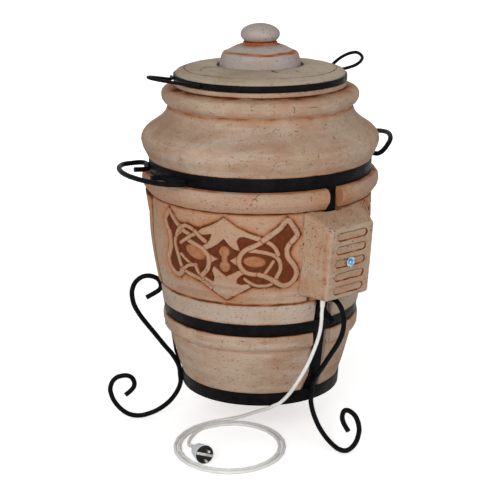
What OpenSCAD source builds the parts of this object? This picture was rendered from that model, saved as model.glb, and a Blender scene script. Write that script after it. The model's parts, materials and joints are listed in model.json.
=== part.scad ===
// Electric clay tandoor: a fireclay pot in a welded steel basket on three scroll legs.
// The origin is on the floor under the pot's axis. +Z is up and the oven's front faces -Y.
// Azimuths are measured anticlockwise from +X, seen from above.

/* [Stand] */
// Height of the lower hoop above the floor
stand_h = 79; // [72:1:110]
// Width of the flat bar that the hoops are rolled from
hoop_w = 26; // [20:1:30]
// Thickness of the hoops
hoop_t = 4; // [3:0.5:5]
// Outer radius of the lower hoop at its top edge
low_r = 163; // [155:1:170]
// Amount by which the lower hoop narrows downwards
low_taper = 1.7; // [0:0.1:3]
// Outer radius of the mid hoop at its top edge
mid_r = 198.4; // [194:0.1:203]
// Amount by which the mid hoop narrows downwards
mid_taper = 3.1; // [0:0.1:5]
// Outer radius of the upper hoop
top_r = 222; // [218:1:225]
// Width of the upright straps
strap_w = 25; // [18:1:30]
// Thickness of the upright straps
strap_t = 4; // [3:0.5:5]
// Depth of the straps' outer face under the clay of the frieze
strap_sink = 6; // [4:0.5:8]
// Azimuth of the strap and leg next to the terminal box
strap_az = 307.5; // [300:0.5:312]
// Diameter of the round bar of the legs and carrying handles
rod_d = 10; // [8:0.5:11]
// Thickness of the star of flat bar that the pot stands on
star_t = 4; // [3:0.5:6]

/* [Clay pot] */
// Height from the lower hoop to the mid hoop
taper_h = 130; // [120:1:145]
// Height from the mid hoop to the frieze
belt_h = 43; // [36:1:50]
// Height of the frieze
frieze_h = 180; // [170:1:190]
// Radius of the frieze at its lower edge
frieze_low_r = 206.5; // [203:0.5:210]
// Radius of the frieze at its upper edge
frieze_high_r = 222.5; // [220:0.5:226]
// Height of the bead above the frieze
bead_h = 43.4; // [42:0.1:50]
// Height of the dome over the upper hoop
dome_h = 102; // [100:0.5:110]
// Radius of the dome and of the bead above the frieze
dome_r = 236; // [230:1:242]
// Radius of the throat between the dome and the neck bead
neck_r = 182; // [176:1:186]
// Height of the neck bead
neck_h = 35.6; // [34:0.1:44]
// Radius of the neck bead
neck_bead_r = 194.5; // [190:0.5:200]
// Radius of the groove under the lip
groove_r = 165; // [160:1:168]
// Height of the groove under the lip
groove_h = 3; // [2.5:0.5:5]
// Radius of the lip that the lid lies on
lip_r = 170; // [168:1:174]
// Height of the lip
lip_h = 9; // [6:0.5:11]
// Radius of the mouth
mouth_r = 135; // [125:1:145]
// Thickness of the clay wall
wall = 40; // [34:1:44]
// Thickness of the pot's floor
floor_t = 40; // [30:1:50]
// Width of the recess in the clay behind each strap
recess_w = 44; // [36:1:50]
// Width of that recess where it crosses the bead
bead_recess_w = 31; // [30:1:36]
// Depth of the joint between the pot and its shoulder
rebate_h = 6; // [4:0.5:8]
// Thickness of the loose hearth plate
hearth_t = 12; // [8:1:20]

/* [Lid] */
// Thickness of the lid at its rim
lid_rim_t = 16; // [15:0.5:20]
// Thickness of the lid at its centre
lid_t = 30; // [27:0.5:34]
// Outer radius of the steel hoop round the lid
lid_hoop_r = 170.8; // [169:0.1:172]
// Width of the steel hoop round the lid
lid_hoop_w = 12; // [9:0.5:13]
// Thickness of the steel hoop round the lid
lid_hoop_t = 3; // [2:0.5:4]
// Radius of the ring under the lid that centres it in the mouth
lid_plug_r = 130; // [120:1:132]
// Height of that ring
lid_plug_h = 8; // [5:1:14]
// Radius of the vent through the lid
vent_r = 60; // [50:1:62]
// Radius of the stopper over the vent
stopper_r = 80; // [76:1:82]
// Height of the stopper above its seat
stopper_h = 85; // [82:1:95]
// Radius of the stopper's knob
knob_r = 38.5; // [34:0.5:42]
// Diameter of the round bar of the lid's handles
loop_d = 6.6; // [5:0.2:8]
// Reach of the lid's handles beyond their hoop
loop_reach = 65; // [55:1:75]
// Rise of the left lid handle along its reach
loop_rise_left = 0.2; // [0:0.05:0.5]
// Rise of the right lid handle along its reach
loop_rise_right = 0.4; // [0:0.05:0.6]

/* [Carrying handles] */
// Azimuth of the left handle
left_az = 207.5; // [204:0.5:212]
// Azimuth of the right handle
right_az = 34; // [28:0.5:40]
// Reach of the handles beyond the upper hoop
bow_reach = 68; // [60:1:80]
// Rise of the left handle along its reach
bow_rise_left = 0.08; // [0:0.02:0.4]
// Rise of the right handle along its reach
bow_rise_right = 0.05; // [0:0.05:0.4]

/* [Terminal box] */
// Azimuth of the box
box_az = 310.4; // [308:0.2:314]
// Width of the box across its front
box_w = 110; // [104:1:116]
// Height of the box at its front
box_h = 143; // [138:1:150]
// Depth of the box in front of the wall
box_d = 44; // [40:1:50]
// Thickness of the box's own clay wall
box_wall = 8; // [7:0.5:10]
// Amount by which each side of the box widens towards the pot
box_flare = 15; // [12:1:20]
// Amount by which the top of the box rises towards the pot
box_top_flare = 17; // [12:1:22]
// Lean of the box with the wall, top outwards
box_lean = 5.5; // [4.5:0.1:6.5]
// Length of the decorative grooves on the box's front
slot_l = 75; // [64:1:84]
// Width of the decorative grooves
slot_w = 15; // [12:1:17]
// Distance between the decorative grooves
slot_pitch = 27; // [24:0.5:29]
// Depth of the decorative grooves
slot_depth = 3; // [1:0.5:4]
// Diameter of the cover's washer
washer_d = 20; // [16:1:22]
// Diameter of the cover's screw
screw_d = 5; // [4:0.5:6]

/* [Heating element] */
// Diameter of the sheathed element
element_d = 8.5; // [6.5:0.5:8.5]
// Distance of the element's centre from the inner wall
element_gap = 14; // [12:1:18]
// Height of the element's upper end above the frieze's lower edge
element_top = 131; // [126:1:140]
// Height of the element's lower end above the frieze's lower edge
element_low = 46; // [42:1:50]
// Outer diameter of the ceramic bushes through the wall
bush_d = 20; // [16:1:22]

/* [Cord and plug] */
// Diameter of the cord
cord_d = 7.2; // [6.5:0.1:7.4]
// Diameter of the plug at its face
plug_d = 38; // [36:0.5:39]
// Length of the plug's grip
plug_l = 34; // [28:1:36]

/* [Hidden] */
$fn = 96;

// Running clearance between clay and what lies against it
clear = 0.3;
// Gap left for a weld bead between two bars that lie on each other
weld = 0.2;
// Amount by which a cutting shape runs past what it cuts
past = 1;
// Angle between the three straps
third = 120;

// Levels, each one section above the last
low_top = stand_h + hoop_w;
pot_z = stand_h + star_t;
mid_z = low_top + taper_h;
mid_top = mid_z + hoop_w;
frieze_z = mid_top + belt_h;
bead_z = frieze_z + frieze_h;
top_z = bead_z + bead_h;
top_top = top_z + hoop_w;
joint_z = top_z + hoop_w / 2;
neck_z = top_top + dome_h;
groove_z = neck_z + neck_h;
lip_z = groove_z + groove_h;
mouth_z = lip_z + lip_h;
floor_z = pot_z + floor_t;
lid_z = mouth_z + clear;
seat_z = lid_z + lid_t - 6;
stopper_z = seat_z + clear;
echo(total_height = stopper_z + stopper_h);

clay = [0.84, 0.72, 0.58];
clay_pink = [0.80, 0.66, 0.58];
steel = [0.10, 0.10, 0.11];
zinc = [0.70, 0.72, 0.75];
ceramic = [0.92, 0.90, 0.85];
grey = [0.78, 0.77, 0.75];

// ---- Curves and tubes ----

function unit(v) = v / norm(v);
function mix(a, b, t) = a + (b - a) * t;
function last(p) = p[len(p) - 1];
function back_to_front(p) = [for (i = [len(p) - 1 : -1 : 0]) p[i]];
function part_of(p, from, to) = [for (i = [from : to]) p[i]];

// A Catmull-Rom curve through the points p, with n steps between two of them
function crom(a, b, c, d, t) =
    0.5 * (2 * b + (c - a) * t + (2 * a - 5 * b + 4 * c - d) * t * t + (3 * b - a - 3 * c + d) * t * t * t);
function smooth(p, n) = concat(
    [for (i = [0 : len(p) - 2]) for (k = [0 : n - 1])
        crom(p[max(i - 1, 0)], p[i], p[i + 1], p[min(i + 2, len(p) - 1)], k / n)],
    [last(p)]);

// The radius, at height z, of a profile that is a list of [radius, height] points going up
function radius_at(p, z, i = 0) =
    i >= len(p) - 2 || z <= p[i + 1][1]
        ? mix(p[i][0], p[i + 1][0], (z - p[i][1]) / (p[i + 1][1] - p[i][1]))
        : radius_at(p, z, i + 1);

// A profile moved sideways by d, away from the axis when d is positive
function beside(p, d) = [for (i = [0 : len(p) - 1])
    let (t = unit(p[min(i + 1, len(p) - 1)] - p[max(i - 1, 0)])) p[i] + d * [t[1], -t[0]]];

function tangents(p) = [for (i = [0 : len(p) - 1]) unit(p[min(i + 1, len(p) - 1)] - p[max(i - 1, 0)])];
function carried(n, t) = unit(n - (n * t) * t);
function across(t) = abs(t[2]) > 0.9 ? [1, 0, 0] : [0, 0, 1];
function normals(t) = [for (i = 0, n = carried(across(t[0]), t[0]); i < len(t);
    i = i + 1, n = i < len(t) ? carried(n, t[i]) : n) n];

// A round tube of radius r along the points p, with closed flat ends
module tube(p, r, sides) {
    t = tangents(p);
    n = normals(t);
    rings = len(p);
    points = [for (i = [0 : rings - 1]) for (k = [0 : sides - 1])
        let (a = 360 * k / sides) p[i] + r * (cos(a) * n[i] + sin(a) * cross(t[i], n[i]))];
    start_cap = [[for (k = [0 : sides - 1]) k]];
    end_cap = [[for (k = [sides - 1 : -1 : 0]) (rings - 1) * sides + k]];
    skin = [for (i = [0 : rings - 2]) for (k = [0 : sides - 1])
        let (a = i * sides + k, b = i * sides + (k + 1) % sides) each [[a, a + sides, b + sides], [a, b + sides, b]]];
    polyhedron(points = points, faces = concat(start_cap, end_cap, skin), convexity = 10);
}

// Places a radial frame: x outwards, y along the wall, z up
module at_azimuth(az) {
    rotate([0, 0, az]) children();
}
function turned(p, az) = [p[0] * cos(az) - p[1] * sin(az), p[0] * sin(az) + p[1] * cos(az), p[2]];

// ---- Profiles of the clay ----

// The bead bulges as far as the dome does
bead_r = dome_r;
// Clay radius behind each hoop
low_seat = low_r - hoop_t - clear;
mid_seat = mid_r - hoop_t - clear;
top_seat = top_r - hoop_t - clear;

// The frieze swells quickly at its foot and runs upright towards its top
frieze_turn = 121.5;
function frieze_radius(s) = mix(frieze_low_r, frieze_high_r, sin(min(90, frieze_turn * s)));
frieze_steps = 8;
frieze = [for (i = [0 : frieze_steps]) [frieze_radius(i / frieze_steps), frieze_z + frieze_h * i / frieze_steps]];

lower_wall = [
    [low_seat - low_taper, pot_z],
    [low_seat, low_top + clear],
    [low_r - 1.5, low_top + clear],
    [mix(low_r, mid_r, 0.23), low_top + 31],
    [mid_r - 18, low_top + 65],
    [mid_r - 12.4, low_top + 88],
    [mid_r - 12, low_top + 95],
    [mid_r - 10, low_top + 98],
    [mid_r - 3.4, mid_z - 29],
    [mid_r + 0.1, mid_z - 23],
    [mid_r + 0.6, mid_z - 8],
    [mid_r - 0.6, mid_z - clear],
    [mid_seat - mid_taper, mid_z - clear],
    [mid_seat, mid_top + clear],
    [mid_r + 1.6, mid_top + clear],
    [mix(mid_r, frieze_low_r, 0.55), mid_top + 18],
    [frieze_low_r - 1.5, frieze_z - 5],
    [frieze_low_r - 1.5, frieze_z - 2]];
bead = [
    [frieze_high_r - 2, bead_z + 1.5],
    [frieze_high_r, bead_z + 3],
    [bead_r - 7.5, bead_z + 10],
    [bead_r - 2, bead_z + 18],
    [bead_r, bead_z + 27],
    [bead_r - 1, bead_z + 35],
    [bead_r - 6, top_z - 2],
    [bead_r - 12, top_z - clear],
    [top_seat, top_z - clear]];
dome = [
    [top_seat, top_top + clear],
    [dome_r - 14, top_top + clear],
    [dome_r - 12.5, top_top + 4],
    [dome_r - 7, top_top + 15],
    [dome_r - 3, top_top + 24],
    [dome_r, top_top + 36],
    [dome_r - 1, top_top + 43],
    [dome_r - 3, top_top + 48],
    [dome_r - 6.5, top_top + 52.5],
    [dome_r - 12, top_top + 58],
    [dome_r - 22, top_top + 64.5],
    [mix(dome_r, neck_r, 0.67), top_top + 74.5],
    [neck_r + 8.5, top_top + 84],
    [neck_r + 4.5, top_top + 90],
    [neck_r + 2, top_top + 97],
    [neck_r, neck_z - 2]];
neck = [
    [neck_bead_r - 11.5, neck_z + 2],
    [neck_bead_r - 4.5, neck_z + 8],
    [neck_bead_r - 1, neck_z + 14],
    [neck_bead_r, neck_z + 19],
    [neck_bead_r, neck_z + 25],
    [neck_bead_r - 1.5, groove_z - 7],
    [neck_bead_r - 5, groove_z - 3],
    [neck_bead_r - 12, groove_z - 0.5],
    [groove_r + 1, groove_z],
    [groove_r, groove_z + 1],
    [groove_r, lip_z - 1],
    [lip_r - 1.5, lip_z],
    [lip_r, lip_z + 1.5],
    [lip_r, mouth_z - 1.5],
    [lip_r - 1.5, mouth_z]];
pot_cavity = concat(
    [[low_r + 4 - wall, floor_z],
     [mix(low_r, mid_r, 0.32) - wall, floor_z + 27],
     [mid_r - 12 - wall, low_top + 88],
     [mid_r - wall, mid_z + hoop_w / 2]],
    beside(frieze, -wall),
    [[top_seat + 8 - wall, joint_z + rebate_h]]);
shoulder_cavity = [
    [top_seat + 8 - wall, joint_z + rebate_h + clear],
    [dome_r - 6 - wall, top_top + 27],
    [dome_r - 11 - wall, top_top + 47],
    [mouth_r + 14, neck_z - 13],
    [mouth_r + 3, neck_z - 4],
    [mouth_r, neck_z + 2],
    [mouth_r, mouth_z]];

// Radius at which the joint between pot and shoulder steps up
step_r = top_seat - wall * 0.4;

// ---- Straps ----

strap_face = [
    [low_r - hoop_t - weld - low_taper, stand_h],
    [low_r - hoop_t - weld, low_top],
    [low_r - 3, low_top + 2],
    [low_r + 3, low_top + 14],
    [mid_r - 23.4, low_top + 29],
    [mid_r - 19.4, low_top + 41],
    [mid_r - 11.4, mid_z - 29],
    [mid_r - hoop_t - weld - mid_taper, mid_z],
    [mid_r - hoop_t - weld, mid_top],
    [mid_r - 0.9, mid_top + 24],
    [frieze_low_r - strap_sink + 1, frieze_z],
    [frieze_radius(0.3) - strap_sink, frieze_z + 0.3 * frieze_h],
    [frieze_radius(0.6) - strap_sink, frieze_z + 0.6 * frieze_h],
    [frieze_high_r - strap_sink, bead_z - 1],
    [top_r - hoop_t - weld, bead_z + 12],
    [top_r - hoop_t - weld, top_top]];
strap_back = beside(strap_face, -strap_t);
recess_face = beside(strap_face, -strap_t - past);

module wedge(az, width) {
    at_azimuth(az) translate([0, -width / 2, 0]) cube([2 * top_r, width, 2 * top_top]);
}

// The channels that let the straps lie in the clay, wide below the bead and narrow across it
module strap_recesses() {
    outline = concat(
        [[last(recess_face)[0], top_top + clear]],
        back_to_front(part_of(recess_face, 1, len(recess_face) - 2)),
        [[recess_face[0][0], pot_z - past], [2 * top_r, pot_z - past], [2 * top_r, top_top + clear]]);
    for (i = [0 : 2]) {
        intersection() {
            rotate_extrude() polygon(outline);
            union() {
                wedge(strap_az + third * i, bead_recess_w);
                intersection() {
                    wedge(strap_az + third * i, recess_w);
                    cylinder(r = 2 * top_r, h = bead_z);
                }
            }
        }
    }
}

module strap(az) {
    intersection() {
        rotate_extrude() polygon(concat(strap_face, back_to_front(strap_back)));
        wedge(az, strap_w);
    }
}

// ---- The box's own frame: x away from the pot, y along the wall, z up the wall ----

box_r = radius_at(frieze, frieze_z + 88) - 1.2;
box_z = frieze_z + 88;
module in_box() {
    at_azimuth(box_az) translate([box_r, 0, box_z]) rotate([0, box_lean, 0]) children();
}
function from_box(p) = turned([
    box_r + p[0] * cos(box_lean) + p[2] * sin(box_lean),
    p[1],
    box_z - p[0] * sin(box_lean) + p[2] * cos(box_lean)], box_az);

plate_t = 2;
plate_x = 2;
plate_front = plate_x + plate_t;
plate_w = box_w - 22;
plate_high = box_h / 2 - 11;
plate_low = -plate_high;
boss_d = 10;
boss_y = box_r * sin(strap_az - box_az);
boss_heights = [plate_low + 10, plate_high - 13];
plate_screw_d = 4;
screw_z = 1;
inner_front = box_d - box_wall;

// ---- Heating element ----

element_az = box_az + 5.6;
bend_r = 16;
turns = 3;
turn_steps = 20;
coil_rest = 7;
element_top_z = frieze_z + element_top;
element_low_z = frieze_z + element_low;
function element_z(s) = mix(element_top_z, element_low_z, s);
function element_r(s) = radius_at(pot_cavity, element_z(s)) - element_gap;
function element_angle(s) = coil_rest + s * (360 * turns - 2 * coil_rest);
element_out = box_r + 9;
// One end of the element: straight out through the wall, then bent along it
function lead(r, z, side) = concat(
    [[element_out, 0, z], [r + bend_r + 12, 0, z]],
    [for (a = [0 : 22.5 : 67.5]) [r + bend_r * (1 - sin(a)), side * bend_r * (1 - cos(a)), z]]);
element_line = concat(
    lead(element_r(0), element_top_z, 1),
    [for (i = [0 : turns * turn_steps])
        let (s = i / (turns * turn_steps), r = element_r(s), a = element_angle(s))
        [r * cos(a), r * sin(a), element_z(s)]],
    back_to_front(lead(element_r(1), element_low_z, -1)));
bush_bore = element_d + 0.7;
bush_in = element_r(0) + bend_r + 6;
bush_out = box_r - 5;
element_ends = [element_top_z, element_low_z];
pin_d = 4;
pin_l = 12;
hook_d = 4;
hook_az = [60, 180, 300];

module radial_rod(az, z, r1, r2, d) {
    at_azimuth(az) translate([r1, 0, z]) rotate([0, 90, 0]) cylinder(d = d, h = r2 - r1);
}

// ---- Clay pieces ----

module pot_body() {
    color(clay) difference() {
        rotate_extrude() polygon(concat(
            lower_wall, frieze, bead,
            [[top_seat, joint_z], [step_r, joint_z], [step_r, joint_z + rebate_h]],
            back_to_front(pot_cavity),
            [[0, floor_z], [0, pot_z]]));
        strap_recesses();
        for (z = element_ends)
            radial_rod(element_az, z, element_r(1), 2 * top_r, bush_d + 2 * clear);
        for (k = [0 : turns - 1]) for (a = hook_az) hook_bore(k, a);
        for (h = boss_heights) screw_pocket(h);
    }
}

// Room in the clay for the end of a screw behind the strap
module screw_pocket(h) {
    in_box() translate([-20, boss_y, h]) rotate([0, 90, 0]) cylinder(d = plate_screw_d + 2, h = 20);
}

module shoulder() {
    color(clay) difference() {
        rotate_extrude() polygon(concat(
            [[step_r + clear, joint_z + clear], [top_seat, joint_z + clear]],
            dome, neck,
            back_to_front(shoulder_cavity),
            [[step_r + clear, joint_z + rebate_h + clear]]));
        strap_recesses();
    }
}

module hearth_plate() {
    color(clay_pink) translate([0, 0, floor_z]) cylinder(r = low_r - wall, h = hearth_t);
}

// ---- Steel basket ----

module hoop(r, taper, z, w, t) {
    color(steel) rotate_extrude() polygon([[r - t - taper, z], [r - taper, z], [r, z + w], [r - t, z + w]]);
}
module upper_hoop() { hoop(top_r, 0, top_z, hoop_w, hoop_t); }
module mid_hoop() { hoop(mid_r, mid_taper, mid_z, hoop_w, hoop_t); }
module lower_hoop() { hoop(low_r, low_taper, stand_h, hoop_w, hoop_t); }

module strap_front() {
    color(steel) difference() {
        strap(strap_az);
        for (h = boss_heights)
            in_box() translate([-20, boss_y, h]) rotate([0, 90, 0]) cylinder(d = plate_screw_d + 0.4, h = 20);
    }
}
module strap_left() { color(steel) strap(strap_az - third); }
module strap_rear() { color(steel) strap(strap_az + third); }

// Three flat arms between the straps, welded inside the lower hoop
module base_star() {
    color(steel) intersection() {
        translate([0, 0, stand_h])
            cylinder(r1 = low_r - hoop_t - weld - low_taper,
                r2 = low_r - hoop_t - weld - low_taper * (1 - star_t / hoop_w), h = star_t);
        union() {
            for (i = [0 : 2])
                at_azimuth(strap_az + 60 + third * i)
                    translate([-strap_w / 3, -strap_w / 2, stand_h]) cube([low_r, strap_w, star_t]);
        }
    }
}

// A leg's centreline in its own upright plane, as [radius, height] points, from the curl beside
// the mid hoop down past the lower hoop to the scroll that stands on the floor
rod_r = rod_d / 2;
function beside_low(z) = low_r - low_taper * (low_top - z) / hoop_w + rod_r + weld;
curl_side = [[4, mid_top + 16], [0, mid_top + 25], [3, mid_top + 36], [11, mid_top + 43], [24, mid_top + 47]];
curl_r = max([for (p = curl_side) radius_at(strap_face, p[1]) - p[0]]) + rod_r + weld + clear;
foot_cut = 0.5;
foot_z = rod_r - foot_cut;
leg_line = concat([
    [curl_r + 30, mid_top + 1],
    [curl_r + 17, mid_top + 8]],
    [for (p = curl_side) [curl_r + p[0], p[1]]], [
    [curl_r + 38, mid_top + 45],
    [curl_r + 51, mid_top + 35],
    [curl_r + 58, mid_top + 20],
    [curl_r + 59, mid_top + 6],
    [curl_r + 56, mid_z + 15],
    [curl_r + 49, mid_z - 1],
    [curl_r + 38, mid_z - 19],
    [low_r + 57, mid_z - 48],
    [low_r + 36, mid_z - 77],
    [low_r + 20.5, low_top + 33],
    [low_r + 9.7, low_top + 14],
    [beside_low(low_top), low_top],
    [beside_low(stand_h + 12), stand_h + 12],
    [beside_low(stand_h), stand_h - 3],
    [low_r + 9, 59],
    [low_r + 19, 43],
    [low_r + 32, 29],
    [low_r + 51, 16],
    [low_r + 71, 8],
    [low_r + 91, foot_z],
    [low_r + 112, 9],
    [low_r + 129, 22],
    [low_r + 142, 40],
    [low_r + 148, 57],
    [low_r + 149, 69],
    [low_r + 144, 83],
    [low_r + 134, 92],
    [low_r + 118, 95],
    [low_r + 106, 91],
    [low_r + 100, 81],
    [low_r + 100, 71],
    [low_r + 106, 62],
    [low_r + 118, 52]]);
foot_r = low_r + 91;

module leg(az) {
    color(steel) at_azimuth(az) intersection() {
        tube([for (p = smooth(leg_line, 2)) [p[0], 0, p[1]]], rod_r, 8);
        translate([0, -rod_d, 0]) cube([3 * top_r, 2 * rod_d, 2 * top_top]);
    }
}
module leg_front() { leg(strap_az); }
module leg_left() { leg(strap_az - third); }
module leg_rear() { leg(strap_az + third); }

// Half of a carrying handle, from the tip of its bow to the end that turns out inside the bow:
// the bar comes back to the hoop, lies along it and ends as a short stub
bow_hug = top_r + rod_r + weld;
bow_half = concat(
    [[top_r + bow_reach, 0], [top_r + bow_reach - 3, 30], [top_r + bow_reach - 14, 65], [top_r + 34, 94],
     [top_r + 10, 105], [top_r - 5, 106], [top_r - 12.5, 99]],
    [for (a = [23, 19, 15.5]) bow_hug * [cos(a), sin(a)]],
    [[top_r + 0.8, 48], [top_r + 9, 42], [top_r + 20, 41], [top_r + 32, 41]]);

// Half of the left lid handle: a wide loop whose ends lie along the lid's hoop
loop_hug = lid_hoop_r + loop_d / 2 + weld;
wide_loop = concat(
    [[lid_hoop_r + loop_reach, 0], [lid_hoop_r + loop_reach - 4, 14], [lid_hoop_r + loop_reach - 17, 25],
     [lid_hoop_r + 31, 30], [lid_hoop_r + 16, 33], [lid_hoop_r + 6.5, 38]],
    [for (a = [15.5, 18.5, 22.5]) loop_hug * [cos(a), sin(a)]]);

// Half of the right lid handle: an oval loop whose two ends nearly meet on the lid's hoop
oval_loop = concat(
    [[lid_hoop_r + loop_reach, 0], [lid_hoop_r + loop_reach - 3, 12], [lid_hoop_r + loop_reach - 15, 21],
     [lid_hoop_r + 35, 25.5], [lid_hoop_r + 18, 24], [lid_hoop_r + 7.5, 18]],
    [for (a = [4.2, 0.8]) loop_hug * [cos(a), sin(a)]]);
// Amount by which the right lid handle is twisted, as rise for each mm of its reach and width
loop_twist = 0.006;

// A bent bar from its half outline. Where it stands off the hoop of radius r it is lifted by the
// function of its distance that rise and spring give, and one side more than the other by twist
module bent_handle(half, az, z, rise, r, d, spring = 0, twist = 0) {
    line = concat(back_to_front(half), [for (i = [1 : len(half) - 1]) [half[i][0], -half[i][1]]]);
    color(steel) at_azimuth(az) tube(smooth([for (p = line) let (off = max(0, p[0] - r))
        [p[0], p[1], z + (rise + twist * p[1]) * off + spring * sqrt(off)]], 2), d / 2, 8);
}
module carry_handle_left() { bent_handle(bow_half, left_az, joint_z - 3, bow_rise_left, bow_hug, rod_d); }
// The right handle springs up from the hoop, runs nearly level and is bent up at its front
bow_spring = 2.2;
bow_twist = -0.003;
module carry_handle_right() {
    bent_handle(bow_half, right_az, joint_z + 7, bow_rise_right, bow_hug, rod_d, bow_spring, bow_twist);
}

// ---- Heating element and its wiring ----

module heater() {
    color(zinc) at_azimuth(element_az) tube(element_line, element_d / 2, 8);
}
module heater_bushes() {
    color(ceramic) for (z = element_ends) difference() {
        radial_rod(element_az, z, bush_in, bush_out, bush_d);
        radial_rod(element_az, z, bush_in - past, bush_out + past, bush_bore);
    }
}
module heater_pins() {
    color(zinc) for (z = element_ends) radial_rod(element_az, z, element_out, element_out + pin_l, pin_d);
}

// Where hook a of turn k carries the element
function hook_s(k, a) = (360 * k + a - coil_rest) / (360 * turns - 2 * coil_rest);
function hook_z(k, a) = element_z(hook_s(k, a)) - (element_d + hook_d) / 2 - clear;
function hook_wall(k, a) = element_r(hook_s(k, a)) + element_gap;
hook_hold = 16;
module hook_bore(k, a) {
    radial_rod(element_az + a, hook_z(k, a), hook_wall(k, a) - hook_d, hook_wall(k, a) + hook_hold + clear,
        hook_d + 2 * clear);
}
module heater_hooks() {
    color(zinc) for (k = [0 : turns - 1]) for (a = hook_az) {
        tip = element_r(hook_s(k, a)) - (element_d + hook_d) / 2 - 2.5;
        union() {
            radial_rod(element_az + a, hook_z(k, a), tip, hook_wall(k, a) + hook_hold, hook_d);
            at_azimuth(element_az + a) translate([tip, 0, hook_z(k, a)]) {
                cylinder(d = hook_d, h = element_d);
                sphere(d = hook_d);
            }
        }
    }
}

// ---- Terminal box ----

module back_plate() {
    color(zinc) in_box() difference() {
        union() {
            translate([plate_x, -plate_w / 2, plate_low]) cube([plate_t, plate_w, plate_high - plate_low]);
            for (h = boss_heights) intersection() {
                translate([-20, boss_y, h]) rotate([0, 90, 0]) cylinder(d = boss_d, h = 20 + plate_x);
                strap_side();
            }
        }
        for (h = boss_heights)
            translate([-20 - past, boss_y, h]) rotate([0, 90, 0]) cylinder(d = plate_screw_d + 0.4, h = 40);
        for (z = element_ends) pin_hole(z);
    }
}
// Everything outside the straps' faces, in the box's frame
module strap_side() {
    rotate([0, -box_lean, 0]) translate([-box_r, 0, -box_z]) at_azimuth(-box_az) difference() {
        translate([0, 0, frieze_z]) cylinder(r = 2 * top_r, h = frieze_h);
        rotate_extrude() polygon(concat([[0, stand_h]], strap_face, [[0, top_top]]));
    }
}
// A hole in the plate round one end of the element, in the box's frame
module pin_hole(z) {
    rotate([0, -box_lean, 0]) translate([-box_r, 0, -box_z]) at_azimuth(-box_az)
        radial_rod(element_az, z, box_r - 30, box_r + 30, element_d + 3);
}

screw_head_d = 8;
screw_head_h = 2.6;
module plate_screws() {
    color(zinc) in_box() for (h = boss_heights) translate([plate_front, boss_y, h]) rotate([0, 90, 0]) difference() {
        union() {
            cylinder(d = screw_head_d, h = screw_head_h);
            translate([0, 0, -plate_front - 11]) cylinder(d = plate_screw_d, h = plate_front + 11 + past);
        }
        translate([-screw_head_d, -0.5, screw_head_h - 1.2]) cube([2 * screw_head_d, 1, 2]);
    }
}

// A block with rounded upright edges, y and z given as half widths and levels
module rounded_slab(x, half_w, low, high, r) {
    translate([x, 0, 0]) rotate([0, 90, 0]) linear_extrude(0.01) hull() {
        for (y = [-1, 1]) for (z = [low + r, high - r]) translate([-z, y * (half_w - r)]) circle(r, $fn = 32);
    }
}
// The box's form: inset is how far the form lies inside the outer one
module box_form(x1, x2, inset, r) {
    flare = (x2 - x1) / box_d;
    hull() {
        rounded_slab(x1, box_w / 2 + box_flare * flare - inset, -box_h / 2 - flare + inset,
            box_h / 2 + box_top_flare * flare - inset, r);
        rounded_slab(x2 - 4, box_w / 2 + box_flare * 4 / box_d - inset, -box_h / 2 + inset,
            box_h / 2 + box_top_flare * 4 / box_d - inset, r);
        rounded_slab(x2, box_w / 2 - 2.5 - inset, -box_h / 2 + 2.5 + inset, box_h / 2 - 2.5 - inset, r - 1);
    }
}
slot_count = 5;
gland_d = 11;
gland_at = [20, -40.5];
module terminal_cover() {
    color(clay) difference() {
        in_box() difference() {
            box_form(-14, box_d, 0, 7);
            box_form(-16, inner_front, box_wall, 2.5);
            for (i = [0 : slot_count - 1])
                translate([box_d - slot_depth, 0, screw_z + slot_pitch * (i - (slot_count - 1) / 2)]) groove();
            translate([0, 0, screw_z]) rotate([0, 90, 0]) cylinder(d = screw_d + 0.5, h = box_d + past);
            translate([gland_at[0], gland_at[1], -box_h]) cylinder(d = gland_d + 2 * clear, h = box_h / 2 + box_wall + past);
        }
        rotate_extrude() polygon(concat(
            [[0, mid_z]],
            beside([for (p = lower_wall) if (p[1] > mid_top + clear) p], clear),
            beside(concat(frieze, part_of(bead, 0, 4)), clear),
            [[0, bead_z + 27]]));
    }
}
// A long groove with round ends, cut into the front of the box
module groove() {
    rotate([0, 90, 0]) linear_extrude(box_d) {
        square([slot_w, slot_l - slot_w], center = true);
        for (y = [-1, 1]) translate([0, y * (slot_l - slot_w) / 2]) circle(d = slot_w);
    }
}

stud_af = 9;
thread_l = 14;
module cover_stud() {
    color(zinc) in_box() translate([plate_front, 0, screw_z]) rotate([0, 90, 0]) difference() {
        cylinder(d = stud_af, h = inner_front - plate_front - clear, $fn = 6);
        translate([0, 0, inner_front - plate_front - thread_l]) cylinder(d = screw_d + 0.2, h = thread_l);
    }
}
washer_t = 1.4;
// Level of the washer's back, just clear of the cover's front
washer_x = box_d + 0.08;
module cover_washer() {
    color(zinc) in_box() translate([washer_x, 0, screw_z]) rotate([0, 90, 0]) difference() {
        cylinder(d = washer_d, h = washer_t);
        translate([0, 0, -past]) cylinder(d = screw_d + 0.5, h = washer_t + 2 * past);
    }
}
cover_head_d = 11;
cross_l = 8;
cover_head_h = 3.4;
module cover_screw() {
    shank = box_wall + thread_l - 3;
    color(zinc) in_box() translate([washer_x + washer_t, 0, screw_z]) rotate([0, 90, 0]) difference() {
        union() {
            cylinder(d = cover_head_d, h = cover_head_h - 1);
            translate([0, 0, cover_head_h - 1]) cylinder(d1 = cover_head_d, d2 = cover_head_d - 2.5, h = 1);
            translate([0, 0, -washer_t - shank]) cylinder(d = screw_d, h = washer_t + shank + past);
        }
        translate([-cross_l / 2, -0.6, cover_head_h - 1.6]) cube([cross_l, 1.2, 3]);
        translate([-0.6, -cross_l / 2, cover_head_h - 1.6]) cube([1.2, cross_l, 3]);
    }
}

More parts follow.
